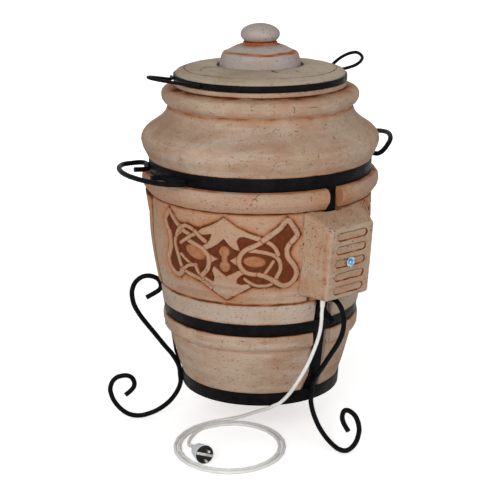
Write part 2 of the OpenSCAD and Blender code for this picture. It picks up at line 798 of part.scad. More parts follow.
// Three-pole ceramic block on the plate
block_y = [-34, -22, -10];
block_low = 12;
block_h = 20;
block_x = 16;
module terminal_block() {
    color(ceramic) in_box() difference() {
        translate([plate_front, block_y[0] - 6, block_low]) cube([block_x, block_y[2] - block_y[0] + 12, block_h]);
        for (y = block_y) {
            translate([plate_front + block_x / 2, y, block_low - past]) cylinder(d = 4, h = block_h + 2 * past);
            for (z = [5, 15]) translate([plate_front + block_x / 2, y, block_low + z])
                rotate([0, 90, 0]) cylinder(d = 4.4, h = block_x);
        }
        for (i = [0 : 1]) translate([plate_front + block_x - 5, mix(block_y[i], block_y[i + 1], 0.5) - 0.8, block_low - past])
            cube([6, 1.6, block_h + 2 * past]);
    }
}
module terminal_screws() {
    color(zinc) in_box() for (y = block_y) for (z = [5, 15])
        translate([plate_front + block_x / 2 + 2.2, y, block_low + z]) rotate([0, 90, 0]) difference() {
            cylinder(d = 4, h = block_x / 2 - 3);
            translate([-3, -0.4, block_x / 2 - 4]) cube([6, 0.8, 2]);
        }
}

wire_d = 3;
wire_x = plate_front + block_x / 2;
module wire(points) {
    tube(smooth([for (p = points) from_box(p)], 3), wire_d / 2, 6);
}
// The element's pins in the box's frame
pin_y = element_out * sin(element_az - box_az);
pin_x = 18;
module link_wires() {
    top = block_low + block_h - 6;
    color(grey) {
        wire([[wire_x, block_y[2], top], [wire_x, block_y[2], top + 12], [wire_x + 3, -3, 47], [pin_x, pin_y - 4, 43]]);
        wire([[wire_x, block_y[1], top], [wire_x, block_y[1], top + 14], [wire_x + 6, -18, 53], [wire_x + 8, 4, 57],
            [wire_x + 8, 28, 50], [wire_x + 6, 37, 25], [wire_x + 4, 37, -10], [wire_x + 4, 33, -34], [pin_x, pin_y + 4.2, -42]]);
        wire([[wire_x, block_y[0], top], [wire_x, block_y[0], top + 10], [wire_x + 5, -39, 42], [wire_x + 7, -44, 24],
            [wire_x + 7, -38, 0], [wire_x + 9, -22, -8], [wire_x + 9, -6.3, screw_z]]);
    }
}
module cord_cores() {
    foot = -box_h / 2 + box_wall + gland_flange + clear;
    color(grey) for (i = [0 : 2])
        wire([[gland_at[0] + 2.2 * cos(120 * i - 120), gland_at[1] + 2.2 * sin(120 * i - 120), foot],
            [gland_at[0] + 3 * cos(120 * i - 120), gland_at[1] + 1 + 3 * sin(120 * i - 120), foot + 10],
            [wire_x + i, mix(gland_at[1], block_y[i], 0.6), mix(foot, block_low, 0.6)],
            [wire_x, block_y[i], block_low - 8],
            [wire_x, block_y[i], block_low + 4]]);
}

// ---- Cord ----

gland_relief = 20;
gland_low = -box_h / 2 - gland_relief;
gland_flange = 3;
module cord_gland() {
    color(grey) in_box() translate([gland_at[0], gland_at[1], -box_h / 2]) {
        translate([0, 0, -gland_relief]) cylinder(d1 = cord_d + 1.4, d2 = gland_d, h = gland_relief);
        cylinder(d = gland_d, h = box_wall + clear);
        translate([0, 0, box_wall + clear]) cylinder(d = gland_d + 1, h = gland_flange - clear);
    }
}

// Route of the free cord from the box down to the floor, in mm
cord_r = cord_d / 2;
cord_start = from_box([gland_at[0], gland_at[1], gland_low]);
cord_route = [[117.5, -200.5, 285], [117, -201.5, 270], [113.5, -205, 246], [104, -208, 216], [91, -206, 183],
    [75, -198, 149], [58, -189, 118], [40, -179, 94], [27, -171, 84], [14, -158, 72], [2, -140, 61], [-11, -119, 48],
    [-34, -88, 27], [-52, -69, 14.5], [-68, -60, 7.5], [-84, -60, 4.4]];

// Two turns on the floor, each inside the last
coil_centre = [-58, -184];
coil_rx = 108;
coil_ry = 122;
coil_start = 118;
coil_turns = 2;
coil_steps = 24;
coil_out = 4;
coil_pitch = 9;
function coil_point(i) =
    let (a = coil_start + 360 * i / coil_steps, off = coil_out - coil_pitch * i / coil_steps)
    [coil_centre[0] + (coil_rx + off) * cos(a), coil_centre[1] + (coil_ry + off) * sin(a), cord_r];
coil_count = coil_turns * coil_steps;
coil_turns_line = [for (i = [0 : coil_count]) coil_point(i)];
function coil_heading(i) = unit(coil_point(i + 0.1) - coil_point(i - 0.1));
coil_in = coil_heading(0);
coil_away = coil_heading(coil_count);
coil_first = coil_point(0) - cord_d * coil_in;
coil_last = coil_point(coil_count) + cord_d * coil_away;
coil_line = concat([coil_first], coil_turns_line, [coil_last]);
// Least gap between points of the coil that lie more than a quarter turn apart
coil_gap = min([for (i = [0 : coil_count]) for (j = [i + coil_steps / 4 : coil_count])
    norm(coil_point(i) - coil_point(j))]) - cord_d;
echo(least_gap_of_the_coil = coil_gap);

// The plug lies on its side with its face raised by the taper of its grip
plug_back_d = 28;
boot_d = 15;
boot_l = 30;
plug_tilt = atan((plug_d - plug_back_d) / 2 / plug_l);
plug_az = -66;
plug_at = [-107, -258, plug_d / 2 * cos(plug_tilt) + weld];
plug_dir = [cos(plug_tilt) * cos(plug_az), cos(plug_tilt) * sin(plug_az), sin(plug_tilt)];
cord_end = plug_at - (plug_l + boot_l) * plug_dir;
tail_route = [[-121, -103, 3.7], [-129.5, -118, 3.7], [-135.5, -134, 3.7], [-139.8, -150, 3.7], [-142, -166, 3.7],
    [-140.5, -181, 3.8]];

cord_line = concat(
    [cord_start],
    smooth(concat([cord_start + (from_box([0, 0, -8]) - from_box([0, 0, 0]))], cord_route, [coil_first - cord_d * coil_in]), 3),
    [coil_first]);
tail_line = concat(
    [coil_last],
    smooth(concat([coil_last + cord_r * coil_away], tail_route, [cord_end - cord_r * plug_dir]), 3),
    [cord_end]);

module cord_run() { color(grey) tube(cord_line, cord_r, 8); }
module cord_coil() { color(grey) tube(coil_line, cord_r, 6); }
module cord_tail() { color(grey) tube(tail_line, cord_r, 8); }

// ---- Plug, in its own frame with z out of the face ----

module in_plug() {
    translate(plug_at) rotate([0, 90 - plug_tilt, plug_az]) children();
}
face_d = plug_d - 3;
face_t = 6;
plug_pin_d = 4.8;
plug_pin_l = 19;
plug_pin_gap = 19;
earth_w = 5;
strip_turn = 70;
module plug_body() {
    color(grey) in_plug() rotate_extrude() polygon([
        [0, -plug_l - boot_l], [cord_r + 0.6, -plug_l - boot_l], [boot_d / 2, -plug_l], [plug_back_d / 2, -plug_l],
        [plug_d / 2, 0], [face_d / 2 + clear, 0], [face_d / 2 + clear, -face_t], [0, -face_t]]);
}
module plug_face() {
    color("black") in_plug() difference() {
        translate([0, 0, -face_t]) cylinder(d = face_d, h = face_t);
        for (y = [-1, 1]) turned_face() translate([0, y * plug_pin_gap / 2, -face_t - past])
            cylinder(d = plug_pin_d + 0.4, h = face_t + 2 * past);
        turned_face() translate([-face_d, -earth_w / 2 - clear, -1.2]) cube([2 * face_d, earth_w + 2 * clear, 3]);
    }
}
module turned_face() {
    rotate([0, 0, strip_turn]) children();
}
module plug_pins() {
    color(zinc) in_plug() turned_face() for (y = [-1, 1]) translate([0, y * plug_pin_gap / 2, -face_t]) {
        cylinder(d = plug_pin_d, h = face_t + plug_pin_l - 1.5);
        translate([0, 0, face_t + plug_pin_l - 1.5]) cylinder(d1 = plug_pin_d, d2 = plug_pin_d - 1.6, h = 1.5);
    }
}
module plug_earth() {
    color(zinc) in_plug() turned_face() translate([-face_d / 2 + 0.5, -earth_w / 2, -1]) cube([face_d - 1, earth_w, 1.6]);
}

// ---- Lid and stopper ----

module lid_disc() {
    edge_r = lid_hoop_r - lid_hoop_t - weld;
    color(clay) rotate_extrude() polygon([
        [vent_r, lid_z - lid_plug_h], [lid_plug_r - 2, lid_z - lid_plug_h], [lid_plug_r, lid_z - lid_plug_h + 2],
        [lid_plug_r, lid_z], [edge_r - 3, lid_z], [edge_r, lid_z + 2],
        [edge_r, lid_z + 13], [edge_r - 0.6, lid_z + lid_rim_t], [edge_r - 4, lid_z + 19], [edge_r - 12, lid_z + 22],
        [edge_r - 17, lid_z + 23.6], [edge_r - 17.6, lid_z + 22.6], [edge_r - 18.4, lid_z + 22.6],
        [edge_r - 19, lid_z + 24.1], [edge_r - 40, lid_z + 27], [stopper_r + 24, lid_z + lid_t - 0.6],
        [stopper_r + 5.5, lid_z + lid_t], [stopper_r + 4.5, lid_z + lid_t - 1], [stopper_r + 4, seat_z],
        [vent_r, seat_z]]);
}
module lid_hoop() { hoop(lid_hoop_r, 0, lid_z + 1.2, lid_hoop_w, lid_hoop_t); }
module lid_handle_left() {
    bent_handle(wide_loop, left_az, lid_z + 1.2 + lid_hoop_w / 2, loop_rise_left, loop_hug, loop_d);
}
module lid_handle_right() {
    bent_handle(oval_loop, right_az - 4, lid_z + 1.2 + lid_hoop_w / 2, loop_rise_right, loop_hug, loop_d,
        twist = loop_twist);
}

spigot_clear = 2;
spigot_h = 20;
module vent_stopper() {
    ball_h = 41;
    ball_z = stopper_z + stopper_h - ball_h / 2;
    cone_z = stopper_z + stopper_h - 40;
    color(clay_pink) rotate_extrude() polygon(concat(
        [[0, stopper_z - spigot_h], [vent_r - spigot_clear, stopper_z - spigot_h], [vent_r - spigot_clear, stopper_z],
         [stopper_r, stopper_z], [stopper_r, stopper_z + 2], [stopper_r - 1, stopper_z + 10],
         [stopper_r - 3, stopper_z + 20], [stopper_r - 5, stopper_z + 27], [stopper_r - 7.5, stopper_z + 30],
         [stopper_r - 13, stopper_z + 30.5], [stopper_r - 14, stopper_z + 32.5], [stopper_r - 15.5, stopper_z + 33.5],
         [knob_r + 11.5, cone_z - 4], [knob_r, cone_z], [knob_r - 4.5, cone_z + 1.5], [knob_r - 5.5, cone_z + 5]],
        [for (a = [-55 : 10 : 85]) [knob_r * cos(a), ball_z + ball_h / 2 * sin(a)]],
        [[0, ball_z + ball_h / 2]]));
}

pot_body();
shoulder();
hearth_plate();
upper_hoop();
mid_hoop();
lower_hoop();
strap_front();
strap_left();
strap_rear();
base_star();
leg_front();
leg_left();
leg_rear();
carry_handle_left();
carry_handle_right();
heater();
heater_bushes();
heater_pins();
heater_hooks();
back_plate();
plate_screws();
terminal_cover();
cover_stud();
cover_screw();
cover_washer();
terminal_block();
terminal_screws();
link_wires();
cord_cores();
cord_gland();
cord_run();
cord_coil();
cord_tail();
plug_body();
plug_face();
plug_pins();
plug_earth();
lid_disc();
lid_hoop();
lid_handle_left();
lid_handle_right();
vent_stopper();
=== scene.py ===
# Electric clay tandoor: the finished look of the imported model.
import bmesh
import bpy
import json
import math
import numpy as np
from mathutils import Matrix, Vector, noise


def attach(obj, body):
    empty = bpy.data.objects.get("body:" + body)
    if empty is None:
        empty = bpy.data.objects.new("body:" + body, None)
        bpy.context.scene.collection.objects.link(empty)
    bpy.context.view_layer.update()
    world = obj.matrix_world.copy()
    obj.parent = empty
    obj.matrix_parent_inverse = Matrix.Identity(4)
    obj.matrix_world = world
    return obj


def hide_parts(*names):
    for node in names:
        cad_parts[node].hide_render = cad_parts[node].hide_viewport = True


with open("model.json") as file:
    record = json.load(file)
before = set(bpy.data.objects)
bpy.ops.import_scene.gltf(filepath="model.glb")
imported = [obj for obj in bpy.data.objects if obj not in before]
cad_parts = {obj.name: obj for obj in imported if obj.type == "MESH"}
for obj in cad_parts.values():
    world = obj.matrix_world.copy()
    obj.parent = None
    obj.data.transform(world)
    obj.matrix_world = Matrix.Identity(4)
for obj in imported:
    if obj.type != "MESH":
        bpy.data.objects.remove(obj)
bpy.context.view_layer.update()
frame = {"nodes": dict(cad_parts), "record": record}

scene = bpy.context.scene
NODE = frame["nodes"]
# A millimetre in metres
MM = 0.001
# Both sides of a middle line
SIDES = (-1, 1)
# Without a seed, noise_vector takes its offsets from the clock
noise.seed_set(1)

# Sizes in mm and azimuths in degrees, as in the part's source
STAND_H, HOOP_W, HOOP_T, STAR_T = 79, 26, 4, 4
LOW_R, LOW_TAPER = 163, 1.7
MID_R, MID_TAPER = 198.4, 3.1
TOP_R = 222
STRAP_T, STRAP_SINK = 4, 6
STRAP_AZ, THIRD = 307.5, 120
LEFT_AZ, RIGHT_AZ, RIGHT_LOOP_AZ = 207.5, 34, 30
ROD_R, LOOP_R = 5, 3.3
WALL, FLOOR_T = 40, 40
RECESS_HALF, BEAD_RECESS_HALF = 22, 15.5
CLEAR, WELD = 0.3, 0.2
TAPER_H, BELT_H, FRIEZE_H, BEAD_H = 130, 43, 180, 43.4
DOME_H, NECK_H, GROOVE_H, LIP_H = 102, 35.6, 3, 9
FRIEZE_LOW_R, FRIEZE_HIGH_R = 206.5, 222.5
DOME_R = 236
BEAD_R = DOME_R
NECK_R, NECK_BEAD_R = 182, 194.5
GROOVE_R, LIP_R, MOUTH_R = 165, 170, 135
REBATE_H = 6
LID_T, LID_SEAT_DEPTH = 30, 6
LID_HOOP_R, LID_HOOP_W, LID_HOOP_T, LID_HOOP_RISE = 170.8, 12, 3, 1.2
LID_PLUG_R, LID_PLUG_H = 130, 8
STOPPER_R, STOPPER_H, KNOB_R, VENT_R, SPIGOT_H = 80, 85, 38.5, 60, 20

# Levels, each one section above the last
LOW_TOP = STAND_H + HOOP_W
POT_Z = STAND_H + STAR_T
MID_Z = LOW_TOP + TAPER_H
MID_TOP = MID_Z + HOOP_W
FRIEZE_Z = MID_TOP + BELT_H
BEAD_Z = FRIEZE_Z + FRIEZE_H
TOP_Z = BEAD_Z + BEAD_H
TOP_TOP = TOP_Z + HOOP_W
JOINT_Z = TOP_Z + HOOP_W / 2
NECK_Z = TOP_TOP + DOME_H
GROOVE_Z = NECK_Z + NECK_H
LIP_Z = GROOVE_Z + GROOVE_H
MOUTH_Z = LIP_Z + LIP_H
FLOOR_Z = POT_Z + FLOOR_T
LID_Z = MOUTH_Z + CLEAR
SEAT_Z = LID_Z + LID_T - LID_SEAT_DEPTH
STOPPER_Z = SEAT_Z + CLEAR


# ---- Curves ----

def mix(a, b, t):
    return a + (b - a) * t


def crom(a, b, c, d, t):
    """The Catmull-Rom curve from b to c."""
    line = 2 * b + (c - a) * t
    bend = (2 * a - 5 * b + 4 * c - d) * t * t
    return 0.5 * (line + bend + (3 * b - a - 3 * c + d) * t ** 3)


def smooth(points, steps):
    """A smooth curve through the points, with so many steps between two of them."""
    p = [Vector(q) for q in points]
    out = []
    for i in range(len(p) - 1):
        a, b, c, d = p[max(i - 1, 0)], p[i], p[i + 1], p[min(i + 2, len(p) - 1)]
        out += [crom(a, b, c, d, k / steps) for k in range(steps)]
    return out + [p[-1]]


def beside(profile, d):
    """A profile of (radius, height) points moved outwards by d."""
    out = []
    for i, p in enumerate(profile):
        t = (Vector(profile[min(i + 1, len(profile) - 1)]) - Vector(profile[max(i - 1, 0)])).normalized()
        out.append((p[0] + d * t[1], p[1] - d * t[0]))
    return out


def radius_at(profile, z):
    """The radius, at height z, of a profile that goes up."""
    for a, b in zip(profile, profile[1:]):
        if z <= b[1]:
            break
    return mix(a[0], b[0], (z - a[1]) / (b[1] - a[1]))


def finer(profile, spacing):
    """The same profile with points no further apart than the spacing."""
    out = [tuple(profile[0])]
    for a, b in zip(profile, profile[1:]):
        n = max(1, math.ceil(math.dist(a, b) / spacing))
        out += [(mix(a[0], b[0], k / n), mix(a[1], b[1], k / n)) for k in range(1, n + 1)]
    return out


def turned(x, y, z, azimuth):
    """A point of a radial frame: x outwards at the azimuth, y along the wall, z up."""
    c, s = math.cos(math.radians(azimuth)), math.sin(math.radians(azimuth))
    return Vector((x * c - y * s, x * s + y * c, z))


def on_circle(r, azimuths):
    return [(r * math.cos(math.radians(a)), r * math.sin(math.radians(a))) for a in azimuths]


# The frieze swells quickly at its foot and runs upright towards its top
FRIEZE_TURN, FRIEZE_STEPS = 121.5, 8


def frieze_radius(s):
    return mix(FRIEZE_LOW_R, FRIEZE_HIGH_R, math.sin(math.radians(min(90, FRIEZE_TURN * s))))


# ---- Profiles of the clay: (radius, height) points going up ----

LOW_SEAT = LOW_R - HOOP_T - CLEAR
MID_SEAT = MID_R - HOOP_T - CLEAR
TOP_SEAT = TOP_R - HOOP_T - CLEAR
FRIEZE = [(frieze_radius(i / FRIEZE_STEPS), FRIEZE_Z + FRIEZE_H * i / FRIEZE_STEPS)
          for i in range(FRIEZE_STEPS + 1)]
LOWER_WALL = [
    (LOW_SEAT - LOW_TAPER, POT_Z), (LOW_SEAT, LOW_TOP + CLEAR), (LOW_R - 1.5, LOW_TOP + CLEAR),
    (mix(LOW_R, MID_R, 0.23), LOW_TOP + 31), (MID_R - 18, LOW_TOP + 65), (MID_R - 12.4, LOW_TOP + 88),
    (MID_R - 12, LOW_TOP + 95), (MID_R - 10, LOW_TOP + 98), (MID_R - 3.4, MID_Z - 29),
    (MID_R + 0.1, MID_Z - 23), (MID_R + 0.6, MID_Z - 8), (MID_R - 0.6, MID_Z - CLEAR),
    (MID_SEAT - MID_TAPER, MID_Z - CLEAR), (MID_SEAT, MID_TOP + CLEAR), (MID_R + 1.6, MID_TOP + CLEAR),
    (mix(MID_R, FRIEZE_LOW_R, 0.55), MID_TOP + 18), (FRIEZE_LOW_R - 1.5, FRIEZE_Z - 5),
    (FRIEZE_LOW_R - 1.5, FRIEZE_Z - 2)]
BEAD = [
    (FRIEZE_HIGH_R - 2, BEAD_Z + 1.5), (FRIEZE_HIGH_R, BEAD_Z + 3), (BEAD_R - 7.5, BEAD_Z + 10),
    (BEAD_R - 2, BEAD_Z + 18), (BEAD_R, BEAD_Z + 27), (BEAD_R - 1, BEAD_Z + 35), (BEAD_R - 6, TOP_Z - 2),
    (BEAD_R - 12, TOP_Z - CLEAR), (TOP_SEAT, TOP_Z - CLEAR)]
DOME = [
    (TOP_SEAT, TOP_TOP + CLEAR), (DOME_R - 14, TOP_TOP + CLEAR), (DOME_R - 12.5, TOP_TOP + 4),
    (DOME_R - 7, TOP_TOP + 15), (DOME_R - 3, TOP_TOP + 24), (DOME_R, TOP_TOP + 36),
    (DOME_R - 1, TOP_TOP + 43), (DOME_R - 3, TOP_TOP + 48), (DOME_R - 6.5, TOP_TOP + 52.5),
    (DOME_R - 12, TOP_TOP + 58), (DOME_R - 22, TOP_TOP + 64.5), (mix(DOME_R, NECK_R, 0.67), TOP_TOP + 74.5),
    (NECK_R + 8.5, TOP_TOP + 84), (NECK_R + 4.5, TOP_TOP + 90), (NECK_R + 2, TOP_TOP + 97),
    (NECK_R, NECK_Z - 2)]
NECK = [
    (NECK_BEAD_R - 11.5, NECK_Z + 2), (NECK_BEAD_R - 4.5, NECK_Z + 8), (NECK_BEAD_R - 1, NECK_Z + 14),
    (NECK_BEAD_R, NECK_Z + 19), (NECK_BEAD_R, NECK_Z + 25), (NECK_BEAD_R - 1.5, GROOVE_Z - 7),
    (NECK_BEAD_R - 5, GROOVE_Z - 3), (NECK_BEAD_R - 12, GROOVE_Z - 0.5), (GROOVE_R + 1, GROOVE_Z),
    (GROOVE_R, GROOVE_Z + 1), (GROOVE_R, LIP_Z - 1), (LIP_R - 1.5, LIP_Z), (LIP_R, LIP_Z + 1.5),
    (LIP_R, MOUTH_Z - 1.5), (LIP_R - 1.5, MOUTH_Z)]
POT_CAVITY = [
    (LOW_R + 4 - WALL, FLOOR_Z), (mix(LOW_R, MID_R, 0.32) - WALL, FLOOR_Z + 27),
    (MID_R - 12 - WALL, LOW_TOP + 88), (MID_R - WALL, MID_Z + HOOP_W / 2)]
POT_CAVITY += beside(FRIEZE, -WALL) + [(TOP_SEAT + 8 - WALL, JOINT_Z + REBATE_H)]
SHOULDER_CAVITY = [
    (TOP_SEAT + 8 - WALL, JOINT_Z + REBATE_H + CLEAR), (DOME_R - 6 - WALL, TOP_TOP + 27),
    (DOME_R - 11 - WALL, TOP_TOP + 47), (MOUTH_R + 14, NECK_Z - 13), (MOUTH_R + 3, NECK_Z - 4),
    (MOUTH_R, NECK_Z + 2), (MOUTH_R, MOUTH_Z)]
STEP_R = TOP_SEAT - WALL * 0.4
STRAP_FACE = [
    (LOW_R - HOOP_T - WELD - LOW_TAPER, STAND_H), (LOW_R - HOOP_T - WELD, LOW_TOP),
    (LOW_R - 3, LOW_TOP + 2), (LOW_R + 3, LOW_TOP + 14), (MID_R - 23.4, LOW_TOP + 29),
    (MID_R - 19.4, LOW_TOP + 41), (MID_R - 11.4, MID_Z - 29), (MID_R - HOOP_T - WELD - MID_TAPER, MID_Z),
    (MID_R - HOOP_T - WELD, MID_TOP), (MID_R - 0.9, MID_TOP + 24),
    (FRIEZE_LOW_R - STRAP_SINK + 1, FRIEZE_Z), (frieze_radius(0.3) - STRAP_SINK, FRIEZE_Z + 0.3 * FRIEZE_H),
    (frieze_radius(0.6) - STRAP_SINK, FRIEZE_Z + 0.6 * FRIEZE_H), (FRIEZE_HIGH_R - STRAP_SINK, BEAD_Z - 1),
    (TOP_R - HOOP_T - WELD, BEAD_Z + 12), (TOP_R - HOOP_T - WELD, TOP_TOP)]
RECESS = beside(STRAP_FACE, -STRAP_T - 1)

# ---- The terminal box's own frame: x away from the pot, y along the wall, z up the wall ----

BOX_AZ, BOX_RISE, BOX_LEAN, BOX_INSET = 310.4, 88, 5.5, 1.2
BOX_W, BOX_H, BOX_D = 110, 143, 44
SCREW_Z, SLOT_L, SLOT_W, SLOT_PITCH, SLOT_COUNT = 1, 75, 15, 27, 5
BOX_Z = FRIEZE_Z + BOX_RISE
BOX_R = radius_at(FRIEZE, BOX_Z) - BOX_INSET
BOX_FRAME = (Matrix.Rotation(math.radians(BOX_AZ), 4, "Z") @ Matrix.Translation((BOX_R, 0, BOX_Z))
             @ Matrix.Rotation(math.radians(BOX_LEAN), 4, "Y"))


def from_box(x, y, z):
    return BOX_FRAME @ Vector((x, y, z))


# ---- Camera, fitted to the photograph ----

# Side of the photograph, focal length and shift in its pixels, and the camera's place in metres
PHOTO_SIDE, FOCAL_LENGTH, SIDE_SHIFT = 500, 1379, 10.2
SENSOR_WIDTH = 36
CAMERA_AT, CAMERA_TILT = (0, -2.695, 1.136), 73.81


def make_camera():
    data = bpy.data.cameras.new("camera")
    data.sensor_width = SENSOR_WIDTH
    data.lens = SENSOR_WIDTH * FOCAL_LENGTH / PHOTO_SIDE
    data.shift_x = -SIDE_SHIFT / PHOTO_SIDE
    camera = bpy.data.objects.new("camera", data)
    camera.location = CAMERA_AT
    camera.rotation_euler = (math.radians(CAMERA_TILT), 0, 0)
    scene.collection.objects.link(camera)
    scene.camera = camera


make_camera()


# ---- Materials ----

class Finish:
    """A material and the short way to add its nodes."""

    def __init__(self, name, **shader):
        self.material = bpy.data.materials.new(name)
        self.material.use_nodes = True
        self.tree = self.material.node_tree
        self.shader = self.tree.nodes["Principled BSDF"]
        for key, value in shader.items():
            self.shader.inputs[key.replace("_", " ")].default_value = value
        self.place = self.tree.nodes.new("ShaderNodeTexCoord").outputs["Object"]

    def put(self, socket, value):
        if isinstance(value, bpy.types.NodeSocket):
            self.tree.links.new(value, socket)
        else:
            socket.default_value = value

    def node(self, kind, out=0, settings=None, **inputs):
        """A node's output. An input is given by its name, or as i0, i1 and so on by its number."""
        n = self.tree.nodes.new("ShaderNode" + kind)
        for key, value in (settings or {}).items():
            setattr(n, key, value)
        for key, value in inputs.items():
            key = key.replace("_", " ")
            self.put(n.inputs[int(key[1:]) if key[0] == "i" and key[1:].isdigit() else key], value)
        return n.outputs[out]

    def noise(self, scale, detail=3, rough=0.55, vector=None):
        return self.node("TexNoise", Vector=vector or self.place, Scale=scale, Detail=detail, Roughness=rough)

    def stretch(self, *scale):
        return self.node("Mapping", Vector=self.place, Scale=scale)

    def ramp(self, value, low, high, to_low=0.0, to_high=1.0):
        return self.node("MapRange", settings={"interpolation_type": "SMOOTHSTEP"}, i0=value, i1=low, i2=high,
                         i3=to_low, i4=to_high)

    def math(self, operation, a, b=0.0, clamp=False):
        return self.node("Math", settings={"operation": operation, "use_clamp": clamp}, i0=a, i1=b)

    def colour(self, factor, a, b, blend="MIX"):
        n = self.tree.nodes.new("ShaderNodeMix")
        n.data_type, n.blend_type = "RGBA", blend
        for socket, value in ((n.inputs[0], factor), (n.inputs[6], a), (n.inputs[7], b)):
            if isinstance(value, tuple):
                value = value + (1,)
            self.put(socket, value)
        return n.outputs[2]

    def attribute(self, name):
        n = self.tree.nodes.new("ShaderNodeAttribute")
        n.attribute_name = name
        return n.outputs["Fac"]

    def bump(self, height, distance, strength=1.0):
        normal = self.node("Bump", Height=height, Distance=distance, Strength=strength)
        self.put(self.shader.inputs["Normal"], normal)

    def base(self, colour):
        self.put(self.shader.inputs["Base Color"], colour)

    def rough(self, value):
        self.put(self.shader.inputs["Roughness"], value)


# Tints that the clays share
PIT_TINT, CRACK_TINT = (0.11, 0.055, 0.03), (0.15, 0.07, 0.035)
# The deep tint paints the darkest grooves and recesses: brown stain there, and painted shade too
STAIN_AMBER, DEEP_STAIN_AND_SHADE, BOSS_TINT = (0.40, 0.155, 0.055), (0.095, 0.023, 0.007), (0.33, 0.115, 0.042)
FRIEZE_TINT, BELT_TINT = (0.47, 0.275, 0.175), (0.50, 0.41, 0.335)


def shaded(tint, *shares):
    """A tint times one share, or its red, green and blue times a share each."""
    return tuple(s * c for c, s in zip(tint, shares if len(shares) == 3 else shares * 3))


def pits(f, pitted):
    """Where small pits lie."""
    spots = f.ramp(f.noise(280, 2, 0.5), 0.70 - 0.07 * pitted, 0.765 - 0.07 * pitted)
    return f.math("MULTIPLY", spots, f.ramp(f.noise(40, 3, 0.6), 0.56 - 0.2 * pitted, 0.6))


def hair_cracks(f):
    """Where hair cracks run, along the edges of swaying cells."""
    sway = f.node("TexNoise", 1, Scale=22.0, Vector=f.place)
    sway = f.node("VectorMath", settings={"operation": "SCALE"}, i0=sway, Scale=0.03)
    swaying = f.node("VectorMath", settings={"operation": "ADD"}, i0=f.place, i1=sway)
    lines = f.node("TexVoronoi", settings={"feature": "DISTANCE_TO_EDGE"}, Vector=swaying, Scale=14.0)
    return f.math("MULTIPLY", f.ramp(lines, 0.004, 0.014, 1.0, 0.0), f.ramp(f.noise(16, 2), 0.64, 0.7))


def zoned(f, colour):
    """The orange of the frieze and the paler belt under it."""
    height = f.node("SeparateXYZ", 2, Vector=f.place)
    frieze_foot = f.ramp(height, (FRIEZE_Z + 26) * MM, (FRIEZE_Z + 66) * MM)
    frieze = f.math("MULTIPLY", frieze_foot, f.ramp(height, (BEAD_Z + 56) * MM, (BEAD_Z + 16) * MM))
    belt_foot = f.ramp(height, (MID_TOP - 6) * MM, (MID_TOP + 4) * MM)
    belt = f.math("MULTIPLY", belt_foot, f.ramp(height, (FRIEZE_Z + 4) * MM, (FRIEZE_Z - 8) * MM))
    frieze = f.math("MULTIPLY", frieze, f.ramp(f.noise(11, 4, 0.6), 0.3, 0.65, 0.5, 1.0))
    belt = f.math("MULTIPLY", belt, f.ramp(f.noise(14, 4, 0.6), 0.3, 0.65, 0.3, 0.8))
    return f.colour(belt, f.colour(frieze, colour, FRIEZE_TINT), BELT_TINT)


def washed_and_shaded(f, colour, amber, deep_stain_and_shade):
    """The brown wash and the painted shade in grooves, recesses and joins, from the attributes of stain and
    shade and of bosses.
    """
    broken = f.ramp(f.noise(42, 4, 0.65), 0.25, 0.62, 0.7, 1.15)
    stain_and_shade = f.math("MULTIPLY", f.attribute("stain_and_shade"), broken, clamp=True)
    # Amber where the stain and painted shade are weak, the deep tint where they are strong
    colour = f.colour(f.ramp(stain_and_shade, 0.0, 0.6, 0.0, 0.8), colour, amber)
    wash_and_shade = f.colour(f.ramp(f.noise(130, 4, 0.7), 0.35, 0.7), deep_stain_and_shade, shaded(deep_stain_and_shade, 1.7))
    colour = f.colour(f.ramp(stain_and_shade, 0.42, 0.95), colour, wash_and_shade)
    boss = f.math("MULTIPLY", f.attribute("boss"), f.ramp(f.noise(60, 3), 0.35, 0.65, 0.55, 0.9))
    return f.colour(boss, colour, BOSS_TINT)


